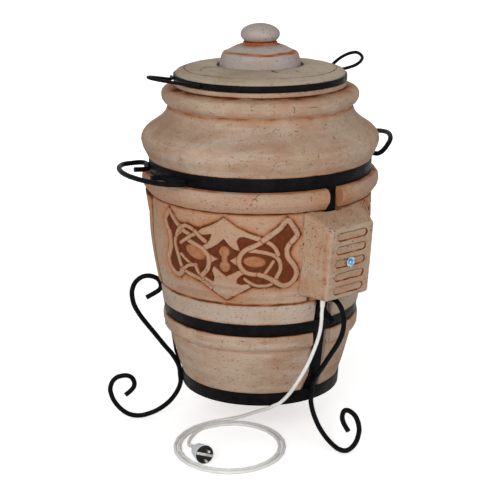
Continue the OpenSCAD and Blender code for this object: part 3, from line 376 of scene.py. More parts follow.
def clay_finish(name, light, dark, stained_and_shaded=True, deep_stain_and_shade=DEEP_STAIN_AND_SHADE, amber=STAIN_AMBER, pitted=0.7,
                zones=False):
    """Fired clay between a light and a dark tint: mottled, smudged, pitted and cracked, and unless told
    otherwise darkened in its grooves with brown stain and painted shade.
    """
    f = Finish(name, Roughness=0.92, Specular_IOR_Level=0.2)
    patches = f.ramp(f.noise(6, 4, 0.6), 0.38, 0.64)
    bands = f.ramp(f.noise(2.2, 5, 0.6, f.stretch(4, 4, 30)), 0.42, 0.66)
    blush = f.ramp(f.noise(17, 4, 0.6), 0.5, 0.72)
    olive = f.ramp(f.noise(8, 3, 0.5, f.stretch(1, 1, 1.7)), 0.52, 0.7)
    smudge = f.ramp(f.noise(70, 5, 0.72), 0.56, 0.74)
    flecks = f.ramp(f.noise(150, 4, 0.75, f.stretch(1, 1, 2.2)), 0.56, 0.70)
    grain = f.noise(420, 3, 0.7)
    specks = pits(f, pitted)
    cracks = hair_cracks(f)
    colour = f.colour(patches, light, dark)
    colour = f.colour(f.math("MULTIPLY", bands, 0.5), colour, tuple(mix(c, 0.62, 0.28) for c in light))
    colour = f.colour(f.math("MULTIPLY", olive, 0.4), colour, shaded(light, 0.9, 0.98, 0.88))
    colour = f.colour(f.math("MULTIPLY", blush, 0.42), colour, shaded(dark, 1.06, 0.80, 0.68))
    if zones:
        colour = zoned(f, colour)
    colour = f.colour(f.math("MULTIPLY", smudge, 0.62), colour, shaded(dark, 0.56))
    colour = f.colour(f.ramp(grain, 0.3, 0.7, 0.0, 0.26), colour, shaded(dark, 0.55))
    colour = f.colour(f.math("MULTIPLY", flecks, 0.34), colour, shaded(dark, 0.5))
    colour = f.colour(f.math("MULTIPLY", specks, pitted), colour, PIT_TINT)
    colour = f.colour(f.math("MULTIPLY", cracks, 0.6), colour, CRACK_TINT)
    if stained_and_shaded:
        colour = washed_and_shaded(f, colour, amber, deep_stain_and_shade)
    f.base(colour)
    f.rough(f.ramp(grain, 0.3, 0.7, 0.86, 0.98))
    height = f.math("ADD", f.math("MULTIPLY", grain, 0.5), f.math("MULTIPLY", f.noise(95, 4, 0.65), 1.3))
    height = f.math("SUBTRACT", height, f.math("MULTIPLY", f.math("MAXIMUM", cracks, specks), 1.6))
    f.bump(height, 0.0011, 0.9)
    return f.material


CLAY = clay_finish("clay", (0.51, 0.375, 0.275), (0.385, 0.24, 0.155), pitted=0.85, zones=True)
LID_CLAY = clay_finish("lid clay", (0.49, 0.40, 0.30), (0.36, 0.265, 0.18), deep_stain_and_shade=(0.05, 0.03, 0.02),
                       amber=(0.20, 0.13, 0.085))
BOX_CLAY = clay_finish("box clay", (0.47, 0.335, 0.235), (0.41, 0.25, 0.15), amber=(0.36, 0.14, 0.05),
                       pitted=1.0)
STOPPER_CLAY = clay_finish("stopper clay", (0.475, 0.42, 0.40), (0.41, 0.33, 0.285), deep_stain_and_shade=(0.24, 0.075, 0.025),
                           pitted=0.8)
HEARTH_CLAY = clay_finish("hearth clay", (0.40, 0.30, 0.25), (0.33, 0.22, 0.16), stained_and_shaded=False)


def painted_steel():
    f = Finish("black steel", Specular_IOR_Level=0.03)
    dust = f.ramp(f.noise(16, 5, 0.65), 0.55, 0.85, 0.0, 0.06)
    colour = f.colour(f.ramp(f.noise(60, 3), 0.35, 0.7), (0.0035, 0.0035, 0.0045), (0.007, 0.007, 0.008))
    f.base(f.colour(dust, colour, (0.10, 0.08, 0.07)))
    f.rough(f.ramp(f.noise(35, 4, 0.6), 0.3, 0.7, 0.38, 0.56))
    f.bump(f.math("ADD", f.noise(480, 2), f.math("MULTIPLY", f.noise(70, 3), 1.5)), 0.0005, 0.6)
    return f.material


STEEL = painted_steel()


def plain_finish(name, light, dark, rough, scale, bump, bump_scale=None, **shader):
    """An even finish between two tints and two roughnesses, with a fine bump in metres."""
    f = Finish(name, **shader)
    f.base(f.colour(f.ramp(f.noise(scale, 4, 0.6), 0.35, 0.65), light, dark))
    f.rough(f.ramp(f.noise(scale * 2.3, 3), 0.3, 0.7, rough[0], rough[1]))
    f.bump(f.noise(bump_scale or scale * 12, 3), bump, 0.7)
    return f.material


ZINC = plain_finish("zinc plate", (0.60, 0.66, 0.74), (0.44, 0.47, 0.52), (0.22, 0.40), 120, 0.00012,
                    Metallic=1.0)
BLUE_ZINC = plain_finish("blue zinc plate", (0.42, 0.62, 0.80), (0.08, 0.20, 0.33), (0.25, 0.42), 190, 0.00015,
                         Metallic=0.85)
NICKEL = plain_finish("nickel", (0.66, 0.65, 0.62), (0.50, 0.49, 0.46), (0.18, 0.32), 150, 0.00008,
                      Metallic=1.0)
ELEMENT = plain_finish("element sheath", (0.20, 0.19, 0.16), (0.10, 0.085, 0.07), (0.45, 0.65), 40, 0.0002,
                       Metallic=0.8)
STEATITE = plain_finish("steatite", (0.78, 0.74, 0.66), (0.66, 0.61, 0.52), (0.25, 0.45), 60, 0.0002)
BRAID = plain_finish("glass braid", (0.66, 0.64, 0.58), (0.50, 0.48, 0.43), (0.75, 0.9), 300, 0.0006,
                     bump_scale=1500)
CORD = plain_finish("cord pvc", (0.80, 0.80, 0.775), (0.72, 0.715, 0.68), (0.36, 0.50), 45, 0.00018)
GRIP = plain_finish("plug grip", (0.64, 0.68, 0.71), (0.56, 0.59, 0.62), (0.38, 0.52), 60, 0.0002)
BLACK = plain_finish("plug black", (0.008, 0.008, 0.009), (0.016, 0.016, 0.016), (0.34, 0.48), 90, 0.00015,
                     Specular_IOR_Level=0.15)


# ---- Making objects ----

def body_name(node):
    for name, nodes in frame["record"]["behaviour"]["bodies"].items():
        if node in nodes:
            return name


def show(name, mesh, material, stands_for, sharp=None):
    """Adds a finished mesh, in metres, to the object. Edges sharper than sharp degrees stay crisp."""
    obj = bpy.data.objects.new(name, mesh)
    scene.collection.objects.link(obj)
    mesh.materials.clear()
    mesh.materials.append(material)
    for face in mesh.polygons:
        face.use_smooth = True
    if sharp:
        mesh.set_sharp_from_angle(angle=math.radians(sharp))
    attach(obj, body_name(stands_for[0]))
    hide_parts(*stands_for)


def to_mesh(bm, name):
    """A mesh in metres from a bmesh in mm."""
    bmesh.ops.scale(bm, vec=(MM, MM, MM), verts=bm.verts)
    bmesh.ops.recalc_face_normals(bm, faces=bm.faces)
    mesh = bpy.data.meshes.new(name)
    bm.to_mesh(mesh)
    bm.free()
    return mesh


def spun(profile, steps, closed=False):
    """A solid of revolution, in mm, from a (radius, height) outline."""
    bm = bmesh.new()
    verts = [bm.verts.new((r, 0, z)) for r, z in profile]
    edges = [bm.edges.new(pair) for pair in zip(verts, verts[1:])]
    if closed:
        edges.append(bm.edges.new((verts[-1], verts[0])))
    bmesh.ops.spin(bm, geom=verts + edges, cent=(0, 0, 0), axis=(0, 0, 1), angle=2 * math.pi, steps=steps,
                   use_merge=True)
    bmesh.ops.remove_doubles(bm, verts=bm.verts, dist=1e-4)
    return bm


def rough_at(p, scale, seed=0):
    """Smooth noise at a point in mm, with lumps of about the scale."""
    return noise.noise(Vector((p[0] / scale + seed, p[1] / scale - seed, p[2] / scale + 2 * seed)))


def fading(x, width):
    """1 at x = 0, falling away over about the width on both sides."""
    return math.exp(-(x / width) ** 2)


def shift_radially(v, amount):
    flat = Vector((v.co.x, v.co.y, 0))
    if flat.length > 1:
        v.co += flat.normalized() * amount


def write_attribute(mesh, name, values):
    layer = mesh.attributes.new(name, "FLOAT", "POINT")
    layer.data.foreach_set("value", values)


def line_stain_and_shade(z, lines):
    """How strongly the levels (height, half width, strength) darken the clay at z, with brown stain and painted
    shade.
    """
    return max([0] + [strength * fading(z - level, half) for level, half, strength in lines])


# Dark lines at joins and creases: partly brown stain, partly painted shade; the line under the bead is a painted
# shadow
STAIN_AND_SHADE_LINES = [
    (LOW_TOP + 0.5, 2.4, 0.5), (LOW_TOP + 94, 1.6, 0.5), (MID_Z - 0.5, 2, 0.5), (MID_TOP + 0.5, 2.4, 0.55),
    (FRIEZE_Z - 2, 2.2, 1.0), (BEAD_Z + 1.5, 2.4, 0.85), (TOP_Z - 0.5, 2, 0.5), (TOP_TOP + 0.5, 2.2, 0.6),
    (NECK_Z, 2.2, 0.95), (NECK_Z - 1, 7, 0.3), (GROOVE_Z + 1.5, 2.2, 1.1), (GROOVE_Z, 6, 0.35),
    (STAND_H + 3, 8, 0.4)]


# ---- The pot and its shoulder ----

STRAP_AZIMUTHS = [STRAP_AZ + THIRD * i for i in range(3)]
STRAP_SIDES = [(turned(1, 0, 0, azimuth), turned(0, 1, 0, azimuth)) for azimuth in STRAP_AZIMUTHS]
# A point belongs to a strap's side of the pot when it lies further out than this towards the strap
STRAP_SIDE_R = 120
# The clay outside this radius is the pot's outside
OUTSIDE_R = 150
SPIN_STEPS = 216
RECESS_CHAMFER = 1.2
# Faces this near a channel's side are cut
CUT_REACH = 12
# Depth of the pot's own face and of the panels' back behind the frieze's surface
PANEL_BED, PANEL_BACK = 8, 9


def faces_near(bm, out, across, low, high, half):
    """The faces beside a channel, with their edges and corners in a fixed order."""
    faces = []
    for f in bm.faces:
        middle = f.calc_center_median()
        beside_channel = abs(abs(middle.dot(across)) - half) < CUT_REACH
        if low - 1 < middle.z < high + 1 and middle.dot(out) > STRAP_SIDE_R and beside_channel:
            faces.append(f)
    edges = dict.fromkeys(e for f in faces for e in f.edges)
    corners = dict.fromkeys(v for f in faces for v in f.verts)
    return faces + list(edges) + list(corners)


def cut_recesses(bm, low, high, half):
    """Edges round the channel of each strap, so that its sides stand square."""
    for out, across in STRAP_SIDES:
        for side in SIDES:
            for inset in (0, RECESS_CHAMFER):
                bmesh.ops.bisect_plane(bm, geom=faces_near(bm, out, across, low, high, half), dist=1e-4,
                                       plane_co=across * side * (half - inset), plane_no=across)


def sink_recesses(bm, low, high, half):
    """Moves the clay behind the straps back to the recess's floor."""
    for v in bm.verts:
        if not low <= v.co.z <= high:
            continue
        r = math.hypot(v.co.x, v.co.y)
        for out, across in STRAP_SIDES:
            if v.co.dot(out) > STRAP_SIDE_R and abs(v.co.dot(across)) < half - RECESS_CHAMFER / 2:
                floor = radius_at(RECESS, min(v.co.z, TOP_TOP))
                if r > floor:
                    shift_radially(v, floor - r)


def wear(bm, seed):
    """The uneven hand finish of the clay's outside."""
    for v in bm.verts:
        r = math.hypot(v.co.x, v.co.y)
        if r > OUTSIDE_R:
            shift_radially(v, 0.9 * rough_at(v.co, 70, seed) + 0.35 * rough_at(v.co, 17, seed + 3))
        else:
            shift_radially(v, 1.2 * rough_at(v.co, 40, seed))


def stain_and_shade_of(mesh, lines, sides):
    """Writes the attribute of brown stain and painted shade from the lines and from sides, a function of a point
    in mm.
    """
    values = []
    for v in mesh.vertices:
        p = v.co / MM
        spread = 1 + 0.8 * rough_at(p, 26, 5)
        s = line_stain_and_shade(p.z + 1.5 * rough_at(p, 35, 2), lines) * spread
        values.append(max(0, min(1.2, max(s, sides(p)))))
    write_attribute(mesh, "stain_and_shade", values)


def recess_shade_and_smoke(p):
    """Painted shade, with some brown stain, in the channels behind the straps, and a smoky patch beside them on
    the bead.
    """
    for out, across in STRAP_SIDES:
        if p.dot(out) > STRAP_SIDE_R:
            y = abs(p.dot(across))
            half = RECESS_HALF if p.z < BEAD_Z else BEAD_RECESS_HALF
            if y < half + 3 and FRIEZE_Z - 8 < p.z < TOP_TOP:
                strong = 0.9 if p.z < BEAD_Z else 0.5
                return strong if y < half else strong * (1 - (y - half) / 3)
            if y < half + 60 and BEAD_Z + 2 < p.z < TOP_Z:
                return 0.42 * (1 - (y - half) / 60) * (0.7 + 0.9 * abs(rough_at(p, 14, 3)))
    return 0


def make_pot():
    bed = [(r - PANEL_BED, z) for r, z in FRIEZE]
    underside = [(0, POT_Z)] + finer([(20, POT_Z), (LOW_SEAT - LOW_TAPER - 4, POT_Z)], 20)
    outer = finer(LOWER_WALL, 3) + [(FRIEZE_LOW_R - 1.5, FRIEZE_Z)] + finer(bed, 8) + finer(BEAD, 2.5)
    joint = [(TOP_SEAT, JOINT_Z), (STEP_R, JOINT_Z), (STEP_R, JOINT_Z + REBATE_H)]
    inner = finer(POT_CAVITY[::-1], 9) + [(20, FLOOR_Z), (0, FLOOR_Z)]
    bm = spun(underside + outer + joint + inner, SPIN_STEPS)
    cut_recesses(bm, POT_Z, BEAD_Z, RECESS_HALF)
    cut_recesses(bm, BEAD_Z, JOINT_Z, BEAD_RECESS_HALF)
    wear(bm, 1)
    sink_recesses(bm, POT_Z, BEAD_Z + 0.1, RECESS_HALF)
    sink_recesses(bm, BEAD_Z, JOINT_Z, BEAD_RECESS_HALF)
    mesh = to_mesh(bm, "pot")
    stain_and_shade_of(mesh, STAIN_AND_SHADE_LINES, recess_shade_and_smoke)
    show("pot", mesh, CLAY, ["pot_body"], sharp=40)


def make_shoulder():
    outer = [(STEP_R + CLEAR, JOINT_Z + CLEAR), (TOP_SEAT, JOINT_Z + CLEAR)] + finer(DOME, 2.5) + finer(NECK, 2)
    inner = finer(SHOULDER_CAVITY[::-1], 8) + [(STEP_R + CLEAR, JOINT_Z + REBATE_H + CLEAR)]
    bm = spun(outer + inner, SPIN_STEPS, closed=True)
    cut_recesses(bm, JOINT_Z, TOP_TOP + CLEAR, BEAD_RECESS_HALF)
    wear(bm, 4)
    sink_recesses(bm, JOINT_Z, TOP_TOP + CLEAR, BEAD_RECESS_HALF)
    mesh = to_mesh(bm, "shoulder_clay")
    stain_and_shade_of(mesh, STAIN_AND_SHADE_LINES, recess_shade_and_smoke)
    show("shoulder_clay", mesh, CLAY, ["shoulder"], sharp=40)


make_pot()
make_shoulder()


# ---- The carved frieze: in mm from the ornament's middle, u runs along the wall and w up it ----

# Azimuth by which the ornament lies before its panel's middle, and the height of its own middle
ORNAMENT_AZ, ORNAMENT_Z = 4.5, FRIEZE_Z + 90
BANDS = [
    # (half width, points), in the order in which they are laid over one another
    (4.2, [(43, 22), (63, 20), (83, 16), (98, 8), (105, -4), (105, -19), (98, -34), (91, -44)]),
    (3.4, [(38, -36), (48, -44), (63, -50), (83, -49), (96, -42)]),
    (3.6, [(92, 0), (84, -14), (75, -27)]),
    (4.2, [(74, 42), (86, 35), (95, 26), (101, 14)]),
    (4.8, [(66, -26), (53, -26), (40, -22), (31, -12), (28, 1), (33, 14), (43, 24), (58, 31), (74, 40)]),
    (5.2, [(66, -27), (76, -30), (88, -36), (98, -43), (110, -50), (123, -49), (134, -39), (138, -24),
           (131, -9), (122, 3), (117, 16), (119, 29), (127, 38)]),
    (5.2, [(127, 38), (137, 51), (129, 66), (118, 79), (104, 64), (88, 52), (74, 42)]),
    (3.4, [(-97, -2), (-86, -10), (-74, -18)]),
    (4.2, [(-97, 43), (-107, 34), (-112, 21), (-110, 6), (-105, -9), (-102, -22), (-96, -32), (-82, -39),
           (-62, -44), (-47, -50), (-32, -60)]),
    (3.6, [(-104, -36), (-92, -30), (-80, -22), (-62, -18)]),
    (3.6, [(-62, -22), (-58, -32), (-48, -44)]),
    (4.8, [(-77, 30), (-66, 26), (-56, 22), (-44, 17), (-36, 9), (-32, -2), (-33, -14), (-39, -26),
           (-50, -37)]),
    (5.4, [(-129, 79), (-142, 62), (-138, 47), (-129, 34), (-126, 15), (-130, 0), (-138, -15), (-137, -32),
           (-124, -45), (-111, -47), (-99, -38)]),
    (4.4, [(-129, 79), (-117, 66), (-102, 54), (-88, 46), (-76, 42)]),
    (4.2, [(-107, 34), (-101, 47), (-87, 56), (-72, 55), (-60, 49), (-50, 41), (-38, 33)]),
    (3.8, [(-96, 21), (-84, 30), (-72, 38), (-60, 45)]),
    (4.2, [(-60, 49), (-50, 41), (-38, 33)])]
LEAVES = [
    [(0, 83), (12, 74), (28, 64), (48, 55), (66, 49), (74, 44), (68, 38), (54, 43), (38, 48), (28, 46),
     (24, 38), (28, 27), (30, 20), (19, 23), (10, 30), (4, 37), (0, 42), (-12, 31), (-24, 23), (-38, 16),
     (-44, 24), (-34, 30), (-28, 38), (-24, 49), (-44, 45), (-54, 50), (-46, 57), (-30, 64), (-12, 74)],
    [(0, -82), (18, -72), (38, -60), (50, -53), (46, -47), (30, -48), (22, -46), (23, -38), (30, -30),
     (42, -25), (36, -17), (24, -21), (12, -28), (2, -33), (-8, -26), (-22, -14), (-26, -24), (-22, -38),
     (-26, -47), (-40, -40), (-50, -36), (-56, -42), (-46, -52), (-32, -62), (-16, -73)],
    [(32, 15), (20, 6), (10, 0), (20, -7), (32, -15)],
    [(-35, 13), (-24, 6), (-13, 1), (-24, -6), (-34, -14)]]
OUTLINE = [
    (0, 83), (12, 74), (28, 64), (48, 56), (66, 50), (76, 49), (90, 60), (104, 72), (118, 86), (128, 77),
    (140, 60), (144, 50), (134, 36), (126, 26), (123, 16), (128, 3), (138, -9), (144, -24), (140, -42),
    (124, -55), (108, -56), (96, -51), (80, -54), (62, -55), (50, -54), (38, -61), (18, -72), (0, -83),
    (-18, -73), (-32, -64), (-50, -53), (-66, -48), (-84, -44), (-96, -42), (-108, -52), (-124, -51),
    (-138, -44), (-144, -32), (-144, -14), (-136, 0), (-132, 15), (-134, 32), (-142, 46), (-148, 61),
    (-140, 74), (-129, 86), (-118, 75), (-104, 61), (-92, 60), (-78, 62), (-62, 57), (-50, 57), (-32, 65),
    (-12, 75)]
# Raised ovals: middle u and w, half length, half height and tilt in degrees
BOSSES = [
    (-62, 8, 23, 13, -18), (57, -1, 21, 11, -4), (0, 16, 10.5, 11, 0), (0, -13, 10.5, 11.5, 0), (0, 1, 6, 9, 0)]
# Depth of the cut-back ground, and the width over which the wall slopes down to it
GROUND_DEPTH, SLOPE_WIDTH = 4.6, 4.2
# A strand's edge rounds off from EDGE_OUT inwards, and a groove GROOVE_DEPTH deep runs beside it
EDGE_OUT, EDGE_FADE = 0.5, 1.3
GROOVE_OUT, GROOVE_FADE, GROOVE_DEPTH = 1.9, 1.5, 2.2
BOSS_TOP = 1.2


def distance_to(points, u, w, closed=False):
    """The distance of each place (u, w) from a line through the points."""
    best = np.full(u.shape, 1e9)
    ends = points[1:] + points[:1] if closed else points[1:]
    for (ax, ay), (bx, by) in zip(points, ends):
        dx, dy = bx - ax, by - ay
        t = np.clip(((u - ax) * dx + (w - ay) * dy) / (dx * dx + dy * dy), 0, 1)
        best = np.minimum(best, np.hypot(u - ax - t * dx, w - ay - t * dy))
    return best


def inside(points, u, w):
    result = np.zeros(u.shape, bool)
    for (ax, ay), (bx, by) in zip(points, points[1:] + points[:1]):
        crosses = (ay > w) != (by > w)
        result ^= crosses & (u < (bx - ax) * (w - ay) / (by - ay + 1e-12) + ax)
    return result


def step(x):
    """0 below 0 and 1 above 1, with a smooth rise between."""
    x = np.clip(x, 0, 1)
    return x * x * (3 - 2 * x)


def raised(height, d, half, top):
    """The carving with a strand of a half width laid on it, d away from its middle line."""
    groove = step((half + GROOVE_OUT - d) / GROOVE_FADE)
    height = np.minimum(height, height * (1 - groove) + (top - GROOVE_DEPTH) * groove)
    strand = step((half + EDGE_OUT - d) / EDGE_FADE)
    return height * (1 - strand) + top * strand


def ornament(u, w):
    """Depth of the carving, in mm below the wall, and how much clay stands up as a boss."""
    slope = np.exp(-(distance_to(OUTLINE, u, w, True) / SLOPE_WIDTH) ** 1.6)
    height = -GROUND_DEPTH * np.where(inside(OUTLINE, u, w), 1.0, slope)
    for leaf in LEAVES:
        edge = distance_to(leaf, u, w, True)
        height = raised(height, np.where(inside(leaf, u, w), -edge, edge), 0.3, -0.2)
    for half, points in BANDS:
        d = distance_to([tuple(p) for p in smooth(points, 5)], u, w)
        height = raised(height, d, half, -0.4 - 0.5 * np.clip(d / half, 0, 1) ** 2)
    boss = np.zeros(u.shape)
    for middle_u, middle_w, half_l, half_h, tilt in BOSSES:
        c, s = math.cos(math.radians(tilt)), math.sin(math.radians(tilt))
        x = ((u - middle_u) * c + (w - middle_w) * s) / half_l
        y = (-(u - middle_u) * s + (w - middle_w) * c) / half_h
        q = np.hypot(x, y)
        dome = step((1.12 - q) / 0.3)
        height = np.maximum(height, -GROUND_DEPTH + (GROUND_DEPTH - BOSS_TOP) * dome * (1 - 0.2 * q * q))
        boss = np.maximum(boss, dome)
    return height, boss


# A panel is a grid of cells, each cut finer on its face, and reaches so many degrees from its middle
PANEL_CELLS, PANEL_CUTS = (27, 12), 11
PANEL_NX, PANEL_NY = (c * (PANEL_CUTS + 1) for c in PANEL_CELLS)
PANEL_REACH = 54.15
FRIEZE_MEAN_R = 216
PANEL_HALF = 204
# Half the width of the clay band over a strap, and where its edge lies on a panel that runs from -1 to 1
PILASTER_HALF = 42
PILASTER_REACH = math.degrees(PILASTER_HALF / FRIEZE_MEAN_R)
PILASTER_EDGE = 1 - (PILASTER_REACH - (THIRD / 2 - PANEL_REACH)) / PANEL_REACH
# Cells over which the carving's depth is blurred for the painted shade round it
SHADE_HALO_CELLS = 10


def blurred(a, cells):
    for _ in range(cells):
        p = np.pad(a, 1, mode="edge")
        a = (p[:-2, 1:-1] + p[2:, 1:-1] + p[1:-1, :-2] + p[1:-1, 2:] + 2 * a) / 6
    return a


def array_fading(x, width):
    return np.exp(-(x / width) ** 2)


def panel_fields():
    """Depth, stain with painted shade, and boss over a panel: a runs along it from -1 to 1, t up it from 0 to 1.
    """
    a = np.linspace(-1, 1, PANEL_NX + 1)[:, None]
    t = np.linspace(0, 1, PANEL_NY + 1)[None, :]
    u = math.radians(1) * FRIEZE_MEAN_R * (a * PANEL_REACH - ORNAMENT_AZ) + 0 * t
    w = t * FRIEZE_H + FRIEZE_Z - ORNAMENT_Z + 0 * a
    height, boss = ornament(u, w)
    carved = np.clip(-height / GROUND_DEPTH, 0, 1)
    within = inside(OUTLINE, u, w)
    away = distance_to(OUTLINE, u, w, True)
    # A narrow painted shadow just outside the outline, and a broad orange blush further out
    blush_and_shadow_ring = (0.3 * array_fading(away, 7) + 0.24 * array_fading(away, 26)) * ~within
    # Painted shade round the carving, from its blurred depth
    shade_halo = np.maximum(blurred(carved, SHADE_HALO_CELLS) * 0.6, blush_and_shadow_ring)
    # The cut-back ground darkens with its depth, with brown stain and painted shade, and the bosses stay lighter
    stain_and_shade = np.clip(np.maximum(carved * np.where(within, 1.25, 0.85) * (1 - 0.62 * boss), shade_halo), 0, 1.2)
    # A ring of painted shade at the foot of each boss
    stain_and_shade = np.maximum(stain_and_shade, 0.75 * np.clip(boss * (1 - boss) * 4, 0, 1))
    # Painted shade, with some stain, under the bead, at the panel's foot and along its sides beside the
    # pilasters
    edge = np.maximum(array_fading(t * FRIEZE_H, 3.5) * 0.8, array_fading((1 - t) * FRIEZE_H, 4) * 0.6)
    side = np.maximum(array_fading((1 - np.abs(a)) * PANEL_HALF, 4) * 0.8,
                      array_fading((PILASTER_EDGE - np.abs(a)) * PANEL_HALF, 4.5) * 0.95)
    return height, np.maximum(stain_and_shade, np.maximum(edge + 0 * a, side + 0 * t)), boss


def slab(across, up):
    """A slab of cells between -1 and 1, with its back at z 0 and its front at z 1."""
    bm = bmesh.new()
    bmesh.ops.create_grid(bm, x_segments=across, y_segments=up, size=1)
    front = bmesh.ops.extrude_face_region(bm, geom=list(bm.faces))["geom"]
    bmesh.ops.translate(bm, vec=(0, 0, 1), verts=[g for g in front if isinstance(g, bmesh.types.BMVert)])
    return bm


def make_panel(name, middle, fields):
    """A carved panel of the frieze round the azimuth of its middle."""
    height, stain_and_shade, boss = fields
    bm = slab(*PANEL_CELLS)
    front = [e for e in bm.edges if all(v.co.z > 0.5 for v in e.verts)]
    bmesh.ops.subdivide_edges(bm, edges=front, cuts=PANEL_CUTS, use_grid_fill=True)
    stain_and_shade_values, bosses = [], []
    for v in bm.verts:
        i, j = round((v.co.x + 1) / 2 * PANEL_NX), round((v.co.y + 1) / 2 * PANEL_NY)
        t = j / PANEL_NY
        r = frieze_radius(t)
        reach = THIRD / 2 - math.degrees(math.asin(RECESS_HALF / r))
        outside = v.co.z > 0.5
        v.co = turned(r, 0, FRIEZE_Z + t * FRIEZE_H, middle + (2 * i / PANEL_NX - 1) * reach)
        if outside:
            shift_radially(v, height[i, j] + 0.7 * rough_at(v.co, 70, 1) + 0.3 * rough_at(v.co, 15, 6))
            # Brown stain and painted shade from the panel's fields
            stain_and_shade_values.append(stain_and_shade[i, j] * (1 + 0.25 * rough_at(v.co, 12, 8)))
            bosses.append(boss[i, j] * (1 + 0.4 * rough_at(v.co, 9, 2)))
        else:
            shift_radially(v, -PANEL_BACK)
            stain_and_shade_values.append(0.5)
            bosses.append(0)
    mesh = to_mesh(bm, name)
    write_attribute(mesh, "stain_and_shade", stain_and_shade_values)
    write_attribute(mesh, "boss", bosses)
    show(name, mesh, CLAY, ["pot_body"])


def make_pilaster(name, azimuth):
    """The upright band of clay that covers a strap between two panels."""
    bm = slab(40, 84)
    stain_and_shade_values = []
    for v in bm.verts:
        a, t, outside = v.co.x, (v.co.y + 1) / 2, v.co.z > 0.5
        wall_r = frieze_radius(t)
        r = max(wall_r + 0.8, mix(FRIEZE_LOW_R - 1, BEAD_R - 6.5, t))
        v.co = turned(r, 0, mix(FRIEZE_Z, BEAD_Z + 2, t), azimuth + a * PILASTER_REACH)
        if outside:
            fall = step((abs(a) - 0.88) / 0.12)
            worn = 0.8 * rough_at(v.co, 60, 2) + 0.3 * rough_at(v.co, 14, 6)
            shift_radially(v, (wall_r - 2 - r) * fall + worn)
        else:
            shift_radially(v, wall_r - 4.5 - r)
        # Painted shade, with some brown stain, along the band's edges beside the panels and at its ends
        ends = 0.8 * max(fading(t * FRIEZE_H, 3), fading((1 - t) * FRIEZE_H, 3))
        line = max(fading(1 - abs(a), 0.09), ends)
        stain_and_shade_values.append(line * (1 + 0.3 * rough_at(v.co, 12, 8)) + 0.12)
    mesh = to_mesh(bm, name)
    write_attribute(mesh, "stain_and_shade", stain_and_shade_values)
    show(name, mesh, CLAY, ["pot_body"])


make_pilaster("pilaster_left", STRAP_AZ - THIRD)
make_pilaster("pilaster_rear", STRAP_AZ + THIRD)
PANEL_FIELDS = panel_fields()
make_panel("frieze_front", STRAP_AZ - THIRD / 2, PANEL_FIELDS)
make_panel("frieze_right", STRAP_AZ + THIRD / 2, PANEL_FIELDS)
make_panel("frieze_rear", STRAP_AZ + THIRD * 1.5, PANEL_FIELDS)


# ---- Steel basket ----

HOOP_ROUND = 0.8


def hoop(name, node, r, taper, z, w, t, seed):
    """A flat bar rolled to a ring of outer radius r at its top, with rounded corners."""
    b = HOOP_ROUND
    outline = [
        (r - taper - b, z), (r - taper - b / 3, z + b / 3), (r - taper, z + b), (r, z + w - b),
        (r - b / 3, z + w - b / 3), (r - b, z + w), (r - t + b, z + w), (r - t + b / 3, z + w - b / 3),
        (r - t, z + w - b), (r - t - taper, z + b), (r - t - taper + b / 3, z + b / 3), (r - t - taper + b, z)]
    bm = spun(outline, 192, closed=True)
    for v in bm.verts:
        v.co.z += 0.25 * rough_at(v.co, 90, seed)
    show(name, to_mesh(bm, name), STEEL, [node], sharp=30)


hoop("hoop_upper", "upper_hoop", TOP_R, 0, TOP_Z, HOOP_W, HOOP_T, 1)
hoop("hoop_mid", "mid_hoop", MID_R, MID_TAPER, MID_Z, HOOP_W, HOOP_T, 2)
hoop("hoop_lower", "lower_hoop", LOW_R, LOW_TAPER, STAND_H, HOOP_W, HOOP_T, 3)
hoop("hoop_lid", "lid_hoop", LID_HOOP_R, 0, LID_Z + LID_HOOP_RISE, LID_HOOP_W, LID_HOOP_T, 4)


def poly_curve(name, points, radius):
    """A round bar of 20 sides along the points, as a curve with closed ends."""
    curve = bpy.data.curves.new(name, "CURVE")
    curve.dimensions = "3D"
    curve.bevel_depth = radius
    curve.bevel_resolution = 4
    curve.use_fill_caps = True
    spline = curve.splines.new("POLY")
    spline.points.add(len(points) - 1)
    for p, q in zip(spline.points, points):
        p.co = (*q, 1)
    return curve


def applied(draft):
    """The mesh of a draft object with its curve or modifiers applied. The draft is removed."""
    scene.collection.objects.link(draft)
    mesh = bpy.data.meshes.new_from_object(draft.evaluated_get(bpy.context.evaluated_depsgraph_get()))
    bpy.data.objects.remove(draft)
    return mesh


def rod(name, node, points, radius, floor=None):
    """A bent round bar along points in mm, pressed flat where it would pass below the floor."""
    bm = bmesh.new()
    bm.from_mesh(applied(bpy.data.objects.new(name, poly_curve(name, points, radius))))
    bmesh.ops.remove_doubles(bm, verts=bm.verts, dist=1e-3)
    for v in bm.verts:
        v.co += 0.12 * Vector(noise.noise_vector(v.co / 9))
        if floor is not None:
            v.co.z = max(v.co.z, floor)
    show(name, to_mesh(bm, name), STEEL, [node], sharp=50)


def beside_low(z):
    return LOW_R - LOW_TAPER * (LOW_TOP - z) / HOOP_W + ROD_R + WELD


CURL_SIDE = [(4, 16), (0, 25), (3, 36), (11, 43), (24, 47)]
CURL_R = max(radius_at(STRAP_FACE, MID_TOP + h) - x for x, h in CURL_SIDE) + ROD_R + WELD + CLEAR
